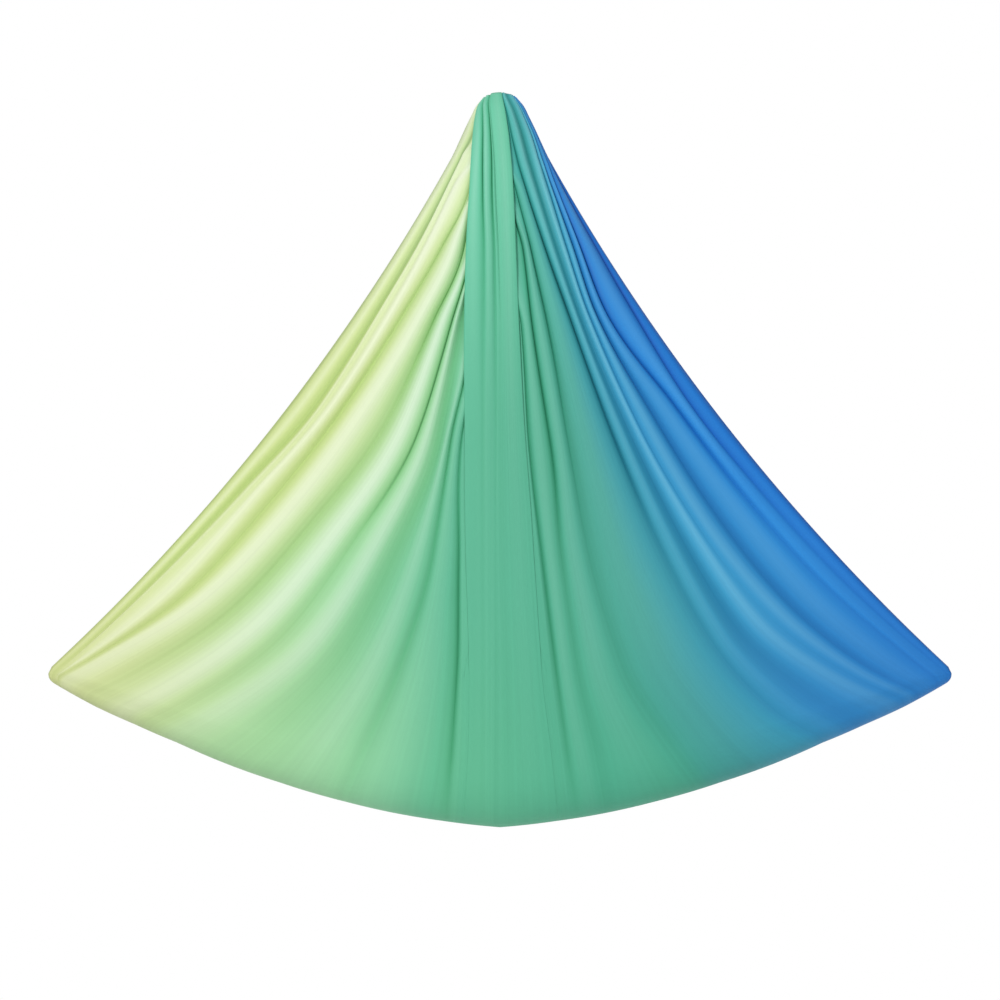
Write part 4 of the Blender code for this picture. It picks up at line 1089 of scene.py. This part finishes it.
@dataclass
class HammockCloth:
    """The one length of cloth: skirt, hood and fan of both halves, and the bottom fold.

    Lengths are metres. Shares are of the fan's radius, and places run from -1 to 1.
    """

    lines: FoldLines = field(default_factory=FoldLines)
    flat: tuple = (2.8, 4.9)
    thickness: float = 0.0006
    samples_per_span: int = 2
    fan_rows: int = 118
    row_crowding: float = 1.18
    bottom_rows: int = 7
    bottom_gap: float = 0.0002
    middle_gap: float = 0.0004
    dye_share: float = 0.72
    probe: float = 0.004
    inner_place: float = 0.985
    edge_share: float = 0.05
    edge_power: float = 0.7
    deepest_share: float = 0.72
    # how strongly the painted highlight and shade show down the cloth, fading at the head and the
    # bottom
    painted_light_places: tuple = (-0.12, 0.0, 0.10, 0.62, 0.80, 0.92, 1.0)
    painted_light_strength: tuple = (0.3, 0.8, 1.0, 1.0, 0.95, 0.7, 0.2)
    back_fade_shares: tuple = (0.55, 0.98)
    back_shift: float = 0.025
    back_wave: float = 0.05
    back_wave_turns: float = 4.1
    back_wave_start: float = 0.8
    skirt_ends: tuple = (-0.12, -0.005)
    skirt_height: tuple = (-0.172, -0.122, -0.045, 0.008)
    skirt_half_width: tuple = (0.019, 0.032, 0.042, 0.040)
    skirt_middle: tuple = (0.056, 0.045, 0.036, 0.033)
    skirt_edge: tuple = (0.050, 0.037, 0.012, 0.008)
    skirt_drop: tuple = (0.0, 0.0, 0.020, 0.040)
    skirt_pleats: int = 30
    skirt_pleat_depth: float = 0.004
    skirt_rows_per_key: int = 4
    rim_drop: float = 0.007

    def back_places(self, place: np.ndarray) -> np.ndarray:
        """Shift the folds of the back half a little, so that they aren't the front's.

        Args:
            place: Places across at the kept shares.

        Returns:
            The shifted places.
        """
        fade = smooth_between(self.lines.shares, self.back_fade_shares, (1.0, 0.0))[:, None]
        wave = self.back_wave * np.sin(self.back_wave_turns * place + self.back_wave_start)
        return place + fade * (1 - place**2) * (wave + self.back_shift)

    def half(self, side: Side) -> tuple[np.ndarray, np.ndarray]:
        """Points of one half, from its knot to the bottom of the loop.

        Args:
            side: Which half.

        Returns:
            Points, and places on the cloth, both rows by columns by three.
        """
        fan = self.lines.fan
        columns, sinks, painted_light_lays = self.lines.control_lines()
        weights = spline_weights(columns.shape[1], self.samples_per_span).T
        place, depth, painted_light_lay = columns @ weights, sinks @ weights, painted_light_lays @ weights
        if side is Side.BACK:
            place = self.back_places(place)
        half_pocket = fan.pocket(np.full(place.shape[1], 1.0), place[-1])
        end = 1 - half_pocket / fan.radius
        rows, painted_light_rows = [], []
        for step in np.linspace(0, 1, self.fan_rows) ** self.row_crowding:
            share = fan.first_share + (end - fan.first_share) * step
            rows.append(self.folded(share, place, depth))
            painted_light_rows.append(self.read(painted_light_lay, share))
        for turn in np.linspace(0, math.pi / 2, self.bottom_rows + 1)[1:]:
            share = 1 - half_pocket * (1 - math.sin(turn)) / fan.radius
            rows.append(self.folded(share, place, depth, turn, half_pocket))
            painted_light_rows.append(self.read(painted_light_lay, share))
        skirt = self.skirt(place.shape[1], rows[:2])
        points = np.concatenate([skirt, rows])
        along = np.concatenate([np.linspace(*self.skirt_ends, len(skirt)),
                                np.linspace(0, 1, len(rows))])
        # the painted highlight and shade fade where this strength is low
        strength = np.interp(along, self.painted_light_places, self.painted_light_strength)[:, None]
        lay = 0.5 + (np.array(painted_light_rows[:1] * len(skirt) + painted_light_rows) - 0.5) * strength
        places = cloth_places(self.dye_places(place), along, lay, points.shape[:2])
        return points * np.array([1.0, -side.value, 1.0]), places

    def dye_places(self, place: np.ndarray) -> np.ndarray:
        """Place across the flat cloth of each column.

        Args:
            place: Places across at the kept shares.

        Returns:
            One number a column, from 0 to 1 and never falling.
        """
        row = int(np.argmin(np.abs(self.lines.shares - self.dye_share)))
        return np.clip((np.maximum.accumulate(place[row]) + 1) / 2, 0.0, 1.0)

    def read(self, table: np.ndarray, share: np.ndarray) -> np.ndarray:
        """Read a table at one share a column.

        Args:
            table: Kept shares by columns.
            share: Where to read each column.

        Returns:
            One number a column.
        """
        first, last = self.lines.shares[[0, -1]]
        ratio = (share - first) / (last - first) * (len(table) - 1)
        k = np.clip(ratio.astype(int), 0, len(table) - 2)
        t, column = ratio - k, np.arange(table.shape[1])
        return table[k, column] * (1 - t) + table[k + 1, column] * t

    def folded(self, share: np.ndarray, place: np.ndarray, depth: np.ndarray,
               turn: float = 0.0, half_pocket: Optional[np.ndarray] = None) -> np.ndarray:
        """One row of points with its folds pushed in.

        Args:
            share: Share of the radius of each column in this row.
            place: Places across at the kept shares.
            depth: Depths at the kept shares.
            turn: How far the row has turned under in the bottom fold.
            half_pocket: Half the pocket where the bottom fold starts, or None above it.

        Returns:
            Points, columns by three.
        """
        fan = self.lines.fan
        v, d = self.read(place, share), self.read(depth, share)

        def at(radius_share: np.ndarray, across: np.ndarray) -> np.ndarray:
            """Points of the plain surface.

            Args:
                radius_share: Share of the fan's radius of each.
                across: Place across of each.

            Returns:
                The points.
            """
            sunk = (fan.pocket(radius_share, across) if half_pocket is None
                    else half_pocket * math.cos(turn) + self.bottom_gap)
            return fan.surface(radius_share, across, sunk)

        point = at(share, v)
        if half_pocket is None:
            down = at(share + self.probe, v) - at(share - self.probe, v)
        else:
            down = np.stack([0 * v, 0 * v + math.sin(turn), 0 * v - math.cos(turn)], axis=-1)
        inner = np.clip(v, -self.inner_place, self.inner_place)
        across = at(share, inner + self.probe) - at(share, inner - self.probe)
        normal = np.cross(down, across)
        normal /= np.maximum(np.linalg.norm(normal, axis=-1, keepdims=True), TINY)
        edge = np.clip((1 - np.abs(v)) / self.edge_share, 0, 1) ** self.edge_power
        sunk = np.minimum(d * edge, self.deepest_share * np.abs(point[:, 1])) * math.cos(turn)
        moved = point - normal * sunk[:, None]
        moved[:, 1] = np.minimum(moved[:, 1], -self.middle_gap)
        return moved

    def skirt(self, count: int, fan: list[np.ndarray]) -> np.ndarray:
        """Rows from the knot up the inside of the hood and over its rim.

        Args:
            count: How many columns there are.
            fan: The fan's first two rows.

        Returns:
            Points, rows by columns by three, up to just before the fan's first row.
        """
        place = np.linspace(-1, 1, count)
        crown = np.sqrt(np.maximum(0.0, 1 - place**2))
        wave = np.sin(self.skirt_pleats * math.pi * place) * self.skirt_pleat_depth
        keys = []
        for height, half, middle, edge, drop in zip(self.skirt_height, self.skirt_half_width,
                                                    self.skirt_middle, self.skirt_edge,
                                                    self.skirt_drop):
            y = (wave - middle + edge) * crown - edge
            keys.append(np.stack([half * place, y, height - drop * place**2], axis=-1))
        rim = (keys[-1] + fan[0]) / 2
        rim[:, 2] = fan[0][:, 2] - self.rim_drop
        line = [keys[0]] + keys + [rim, fan[0], fan[1]]
        rows = []
        for a, b, c, d in zip(line, line[1:], line[2:], line[3:]):
            for t in np.arange(self.skirt_rows_per_key) / self.skirt_rows_per_key:
                rows.append(0.5 * (2 * b + (c - a) * t + (2 * a - 5 * b + 4 * c - d) * t**2
                                   + (3 * b - a - 3 * c + d) * t**3))
        return np.array(rows)

    def build(self, material: bpy.types.Material) -> bpy.types.Object:
        """Make the cloth as one closed sheet.

        Args:
            material: The dyed cloth.

        Returns:
            The cloth.
        """
        front, front_places = self.half(Side.FRONT)
        back, back_places = self.half(Side.BACK)
        points = np.concatenate([front, back[::-1][1:]])
        places = np.concatenate([front_places, back_places[::-1][1:]])
        cloth = make_mesh_object("hammock_cloth", *closed_sheet(points, places, self.thickness),
                                 material)
        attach(cloth, "hanger")
        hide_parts("hammock_cloth_front_half", "hammock_cloth_back_half")
        return cloth


# Knots and tails


@dataclass
class ChokeKnot:
    """Cloth gathered to a rope and wrapped on the carabiner's lower bar.

    Lengths are metres, and heights are in the carabiner's own frame.
    """

    hook_place: tuple = (0.0, -0.00535, -0.08079)
    tilt_deg: float = 18.0
    top: float = -0.086
    bottom: float = -0.154
    half_width: float = 0.030
    half_depth: float = 0.025
    height_shares: tuple = (0.00, 0.06, 0.13, 0.20, 0.28, 0.36, 0.43, 0.50, 0.60, 0.72, 0.84,
                            0.94, 1.00)
    width_shares: tuple = (0.48, 0.54, 0.66, 0.82, 0.88, 0.84, 0.78, 0.84, 0.90, 0.88, 0.76,
                           0.50, 0.20)
    rows: int = 44
    pleats: int = 27
    points_per_pleat: int = 6
    pleat_share: float = 0.055
    pleat_twist: float = 1.2
    wrap_levels: tuple = (0.72, 0.50, 0.27)
    wrap_tilts_deg: tuple = (7.0, -13.0, 9.0)
    wrap_steps: int = 90
    wrap_points: int = 42
    wrap_half_height: float = 0.0085
    wrap_half_depth: float = 0.0048
    wrap_sink: tuple = (0.0055, 0.0050)
    wrap_flattening: float = 1.05
    wrap_lean_turn: float = 5.0
    wrap_ridges: int = 7
    wrap_ridge_share: float = 0.10
    wrap_swells: int = 3
    wrap_swell_turn: float = 9.0
    wrap_swell_share: float = 0.12
    dye_reach: float = 0.42
    dye_sway: float = 0.05
    dye_turns: float = 330.0
    dye_along: tuple = (0.3, 2.0)
    fill: float = 0.95

    def height(self, level: float) -> float:
        """Height of a level of the knot, from 0 at its foot to 1 at its top."""
        return self.bottom + level * (self.top - self.bottom)

    def core(self) -> np.ndarray:
        """Rings of the gathered cloth inside the wraps.

        Returns:
            Rings by points by three, in the carabiner's own frame.
        """
        angle = np.linspace(0, math.tau, self.pleats * self.points_per_pleat, endpoint=False)
        levels = np.linspace(1, 0, self.rows)
        rings = []
        for level, wide in zip(levels, smooth_between(levels, self.height_shares,
                                                      self.width_shares)):
            wave = np.abs(np.sin(self.pleats / 2 * (angle + self.pleat_twist * level)))
            reach = wide * (1 + self.pleat_share * wave * wide)
            rings.append(np.stack([self.half_width * reach * np.cos(angle),
                                   self.half_depth * reach * np.sin(angle),
                                   0 * angle + self.height(level)], axis=-1))
        return np.array(rings)[:, ::-1]

    def wrap(self, level: float, tilt_deg: float) -> np.ndarray:
        """Rings of one turn of gathered cloth round the core.

        Args:
            level: Its height on the knot, from 0 to 1.
            tilt_deg: How far it leans.

        Returns:
            Rings by points by three, in the carabiner's own frame.
        """
        section = np.linspace(0, math.tau, self.wrap_points, endpoint=False)
        ridge = 1 + self.wrap_ridge_share * np.cos(section * self.wrap_ridges)
        lean = math.tan(math.radians(tilt_deg)) * self.half_width
        rings = []
        for angle in np.linspace(0, math.tau, self.wrap_steps, endpoint=False):
            across, deep = math.cos(angle), math.sin(angle)
            out = np.array([across * self.wrap_flattening, deep, 0.0])
            out /= np.linalg.norm(out)
            centre = np.array([
                (self.half_width - self.wrap_sink[0]) * across,
                (self.half_depth - self.wrap_sink[1]) * deep,
                self.height(level) + lean * math.cos(angle + self.wrap_lean_turn * level)])
            swell = 1 + self.wrap_swell_share * math.sin(self.wrap_swells * angle
                                                         + self.wrap_swell_turn * level)
            tall = np.array([0.0, 0.0, self.wrap_half_height * swell])
            rings.append(centre + np.outer(np.cos(section) * ridge, self.wrap_half_depth * out)
                         + np.outer(np.sin(section) * ridge, tall))
        return np.array(rings)[:, ::-1]

    def placed(self, side: Side) -> Matrix:
        """Matrix from the carabiner's own frame, as it hangs and leans, to the object's.

        Args:
            side: Which half of the loop.

        Returns:
            The matrix.
        """
        pull = (Matrix.Translation(self.hook_place)
                @ Matrix.Rotation(-math.radians(self.tilt_deg), 4, "X"))
        return pull if side is Side.FRONT else Matrix.Rotation(math.pi, 4, "Z") @ pull

    def build(self, side: Side, material: bpy.types.Material) -> bpy.types.Object:
        """Make one knot as a single padded piece.

        Args:
            side: Which half of the loop it ties.
            material: The dyed cloth.

        Returns:
            The knot.
        """
        body, faces = np.empty((0, 3)), []
        wraps = [self.wrap(level, tilt)
                 for level, tilt in zip(self.wrap_levels, self.wrap_tilts_deg)]
        for number, rings in enumerate([self.core()] + wraps):
            start = len(body)
            faces += [tuple(start + k for k in face) for face in lofted(rings, number > 0)]
            body = np.concatenate([body, rings.reshape(-1, 3)])
        across = np.clip(0.5 + body[:, 0] / self.half_width * self.dye_reach
                         + self.dye_sway * np.sin(body[:, 2] * self.dye_turns), 0, 1)
        along = self.dye_along[0] + self.dye_along[1] * body[:, 2]
        places = np.stack([across, along, np.full(len(body), 0.5)], axis=-1)
        matrix = self.placed(side)
        name = side.name.lower()
        knot = make_mesh_object(name + "_knot_wraps",
                                np.array([matrix @ Vector(point) for point in body]), faces,
                                places, material)
        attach(knot, "hanger")
        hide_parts(name + "_choke_knot")
        return knot


@dataclass
class LooseTail:
    """The end of the cloth below its knot, in narrow pleats that flare.

    Lengths are metres.
    """

    flat: tuple = (2.8, 0.19)
    thickness: float = 0.0004
    pleats: int = 54
    points_per_pleat: int = 6
    rows: int = 16
    top_half_width: float = 0.0145
    half_width: float = 0.046
    flare_power: float = 0.85
    top_depth: float = 0.021
    depth: float = 0.040
    least_crown: float = 0.15
    top: float = -0.2285
    bottom: float = -0.4165
    top_y: float = 0.0535
    bottom_y: float = 0.0590
    least_pleat_share: float = 0.72
    pleat_lean: float = 0.0006
    sways: int = 9
    sway_turn: float = 1.5
    sway: float = 0.004
    hem_sway: float = 0.006
    hem_curve: float = 0.004
    dyed_length_share: float = 0.08
    # lay that paints highlight and shade along the pleats
    lay: tuple = (0.5, 0.3)
    seeds: dict = field(default_factory=lambda: {Side.FRONT: 7, Side.BACK: 8})

    def build(self, side: Side, material: bpy.types.Material) -> bpy.types.Object:
        """Make one tail as a closed pleated sheet.

        Args:
            side: Which half of the loop it ends.
            material: The dyed cloth.

        Returns:
            The tail.
        """
        count = self.pleats * self.points_per_pleat + 1
        place = np.linspace(-1, 1, count)
        phase = np.linspace(0, self.pleats * math.tau, count)
        rng = np.random.default_rng(self.seeds[side])
        uneven = np.interp(place, np.linspace(-1, 1, self.pleats + 1),
                           rng.uniform(self.least_pleat_share, 1.0, self.pleats + 1))
        sway = np.interp(place, np.linspace(-1, 1, self.sways), rng.uniform(-1, 1, self.sways))
        crown = np.sqrt(np.maximum(self.least_crown, 1 - place**2))
        rows = []
        for share in np.linspace(0, 1, self.rows):
            half = (self.top_half_width
                    + (self.half_width - self.top_half_width) * share**self.flare_power)
            deep = self.top_depth + (self.depth - self.top_depth) * share
            swing = np.cos(phase + self.sway_turn * share * sway)
            y = (self.top_y + (self.bottom_y - self.top_y) * share
                 + deep / 2 * crown * uneven * swing + self.sway * share * sway)
            x = half * place + self.pleat_lean * share * np.sin(phase)
            z = (self.top + (self.bottom - self.top) * share
                 + self.hem_sway * share * np.abs(sway) + self.hem_curve * share * place**2)
            rows.append(np.stack([x, side.value * y, z], axis=-1))
        points = np.array(rows)
        # the lay follows the pleats with painted highlight and painted shade
        places = cloth_places((place + 1) / 2, np.linspace(0.0, self.dyed_length_share, self.rows),
                              self.lay[0] + self.lay[1] * np.cos(phase), points.shape[:2])
        name = side.name.lower()
        tail = make_mesh_object(name + "_loose_tail",
                                *closed_sheet(points, places, self.thickness), material)
        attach(tail, "hanger")
        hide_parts(name + "_tail")
        return tail


# Metal fittings


@dataclass
class Fittings:
    """The swivel and the two carabiners, which keep their CAD shapes.

    Each metal has its colour, its worn colour, its roughness and its grain in millimetres.
    """

    smooth_below_deg: float = 40.0
    merge_distance: float = 0.01 * MM
    finishes: dict = field(default_factory=lambda: {
        "anodised_aluminium": Metal("anodised_aluminium", "#5B6472", "#6E7683", 0.34, 0.35),
        "plated_steel": Metal("zinc_plated_steel", "#C3C7CB", "#A9AEB3", 0.30, 0.5),
        "bearing_steel": Metal("ground_bearing_steel", "#B9BDC2", "#A4A9AE", 0.18, 0.12, 0.1),
        "cage_brass": Metal("pressed_brass", "#C9A75B", "#A98A48", 0.32, 0.3),
        "carabiner_steel": Metal("forged_zinc_plated_steel", "#BFC3C7", "#9DA2A8", 0.27, 0.6),
        "anodised_sleeve": Metal("knurled_anodised_aluminium", "#2E6DA8", "#4380B8", 0.36, 0.3),
        "seal_rubber": SealRubber(),
    })

    def smoothing(self) -> bpy.types.NodeTree:
        """Geometry nodes that shade the round faces smooth and keep the real edges sharp.

        Returns:
            The group for a modifier.
        """
        tree = bpy.data.node_groups.new("smooth_round_faces", "GeometryNodeTree")
        for way in ("INPUT", "OUTPUT"):
            tree.interface.new_socket("Geometry", in_out=way, socket_type="NodeSocketGeometry")
        source = add_node(tree, "NodeGroupInput").outputs[0]
        merged = add_node(tree, "GeometryNodeMergeByDistance", {"Distance": self.merge_distance},
                          {"Geometry": source}).outputs[0]
        smooth = add_node(tree, "GeometryNodeSetShadeSmooth", links={"Geometry": merged},
                          domain="FACE").outputs[0]
        bend = add_node(tree, "GeometryNodeInputMeshEdgeAngle").outputs["Unsigned Angle"]
        sharp = add_node(tree, "FunctionNodeCompare", {1: math.radians(self.smooth_below_deg)},
                         {0: bend}, data_type="FLOAT", operation="GREATER_THAN").outputs[0]
        edged = add_node(tree, "GeometryNodeSetShadeSmooth", {"Shade Smooth": False},
                         {"Geometry": smooth, "Selection": sharp}, domain="EDGE").outputs[0]
        add_node(tree, "NodeGroupOutput", links={0: edged})
        return tree

    def dress(self, record: dict) -> int:
        """Give each CAD node that stays in sight its real finish.

        Args:
            record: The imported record, whose materials name the slots.

        Returns:
            How many nodes were dressed.
        """
        made = {name: finish.make() for name, finish in self.finishes.items()}
        slots = {part["node"]: part["material_slot"] for part in record["subparts"]}
        smoothing = self.smoothing()
        count = 0
        for name, node in frame["nodes"].items():
            finish = made.get(slots.get(name, ""))
            if finish is None or node.hide_render:
                continue
            node.data.materials.clear()
            node.data.materials.append(finish)
            node.modifiers.new("smooth_round_faces", "NODES").node_group = smoothing
            count += 1
        return count


# Studio


@dataclass(frozen=True)
class Softbox:
    """A soft lamp: where it stands, its side in metres and its power in watts."""

    name: str
    place: tuple[float, float, float]
    side: float
    power: float

    def build(self, target: Vector) -> None:
        """Add the lamp.

        Args:
            target: The point it is aimed at.
        """
        data = bpy.data.lights.new(self.name, "AREA")
        data.size = self.side
        data.energy = self.power
        lamp = bpy.data.objects.new(self.name, data)
        lamp.location = self.place
        lamp.rotation_mode = "QUATERNION"
        lamp.rotation_quaternion = (target - Vector(self.place)).to_track_quat("-Z", "Y")
        bpy.context.scene.collection.objects.link(lamp)


@dataclass
class Studio:
    """Camera, lamps, pale floor and white surroundings. Lengths are metres."""

    distance: float = 10.0
    width_at_object: float = 2.91
    sensor_mm: float = 36.0
    clip_end: float = 60.0
    centre: float = -1.161
    softboxes: tuple[Softbox, ...] = (Softbox("key_softbox", (-3.0, -6.8, 1.8), 2.6, 318.0),
                                      Softbox("fill_softbox", (4.6, -5.5, -1.4), 5.0, 84.0),
                                      Softbox("back_softbox", (0.0, 4.5, 3.0), 4.0, 120.0))
    world_light: float = 0.42
    glossy_light: float = 0.5
    floor_level: float = -3.1
    floor_size: float = 6.0
    floor_mottle_mm: float = 333.3
    floor_colours: tuple[tuple[float, str], ...] = ((0.3, "#F6F6F5"), (0.7, "#FAFAF9"))
    floor_roughness: float = 0.9

    def camera(self) -> None:
        """Straight-on camera that frames the object as the photograph does."""
        data = bpy.data.cameras.new("camera")
        data.sensor_width = self.sensor_mm
        data.lens = self.sensor_mm * self.distance / self.width_at_object
        data.clip_end = self.clip_end
        camera = bpy.data.objects.new("camera", data)
        camera.location = (0.0, -self.distance, self.centre)
        camera.rotation_euler = (math.pi / 2, 0.0, 0.0)
        bpy.context.scene.collection.objects.link(camera)
        bpy.context.scene.camera = camera

    def surroundings(self) -> None:
        """White where the camera looks, and plain grey light elsewhere."""
        world = bpy.data.worlds.new("plain_studio")
        bpy.context.scene.world = world
        world.use_nodes = True
        tree = world.node_tree
        tree.nodes.clear()
        ray = add_node(tree, "ShaderNodeLightPath").outputs
        glossy = add_node(tree, "ShaderNodeMath", {1: self.glossy_light},
                          {0: ray["Is Glossy Ray"]}, operation="MULTIPLY").outputs[0]
        seen = add_node(tree, "ShaderNodeMath", links={0: ray["Is Camera Ray"], 1: glossy},
                        operation="MAXIMUM").outputs[0]
        strength = add_node(tree, "ShaderNodeMapRange", {3: self.world_light, 4: 1.0},
                            {0: seen}).outputs[0]
        light = add_node(tree, "ShaderNodeBackground", {"Color": (1, 1, 1, 1)},
                         {"Strength": strength})
        add_node(tree, "ShaderNodeOutputWorld", links={0: light.outputs[0]})

    def floor(self) -> None:
        """Pale floor of painted plaster, matt and faintly mottled, well below the loop."""
        half = self.floor_size / 2
        corners = np.array([(x * half, y * half, self.floor_level)
                            for x, y in ((-1, -1), (1, -1), (1, 1), (-1, 1))])
        material, tree = new_material("painted_plaster_floor")
        place = add_node(tree, "ShaderNodeTexCoord").outputs["Object"]
        noise = add_node(tree, "ShaderNodeTexNoise",
                         {"Scale": 1 / (self.floor_mottle_mm * MM), "Detail": 4.0},
                         {"Vector": place})
        colour = add_node(tree, "ShaderNodeValToRGB", links={0: noise.outputs["Fac"]},
                          stops=self.floor_colours)
        shader = add_node(tree, "ShaderNodeBsdfPrincipled", {"Roughness": self.floor_roughness},
                          {"Base Color": colour.outputs[0]})
        add_node(tree, "ShaderNodeOutputMaterial", links={0: shader.outputs[0]})
        make_mesh_object("studio_floor", corners, [(0, 1, 2, 3)], None, material)

    def build(self) -> None:
        """Set up everything round the object."""
        self.camera()
        for softbox in self.softboxes:
            softbox.build(Vector((0.0, 0.0, self.centre)))
        self.surroundings()
        self.floor()
        bpy.context.scene.view_settings.view_transform = "Standard"


def main() -> None:
    """Build each piece in order and report it."""
    logging.basicConfig(level=logging.INFO, format="%(name)s: %(message)s")
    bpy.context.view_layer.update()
    Studio().build()
    LOG.info("studio: camera, lamps and floor")
    tricot = DyedTricot().make()
    cloth = HammockCloth().build(tricot)
    LOG.info("cloth: %d faces", len(cloth.data.polygons))
    for side in Side:
        knot = ChokeKnot().build(side, tricot)
        tail = LooseTail().build(side, tricot)
        LOG.info("%s: %s and %s", side.name.lower(), knot.name, tail.name)
    dressed = Fittings().dress(frame["record"])
    LOG.info("fittings: %d nodes dressed", dressed)


if __name__ == "__main__":
    main()
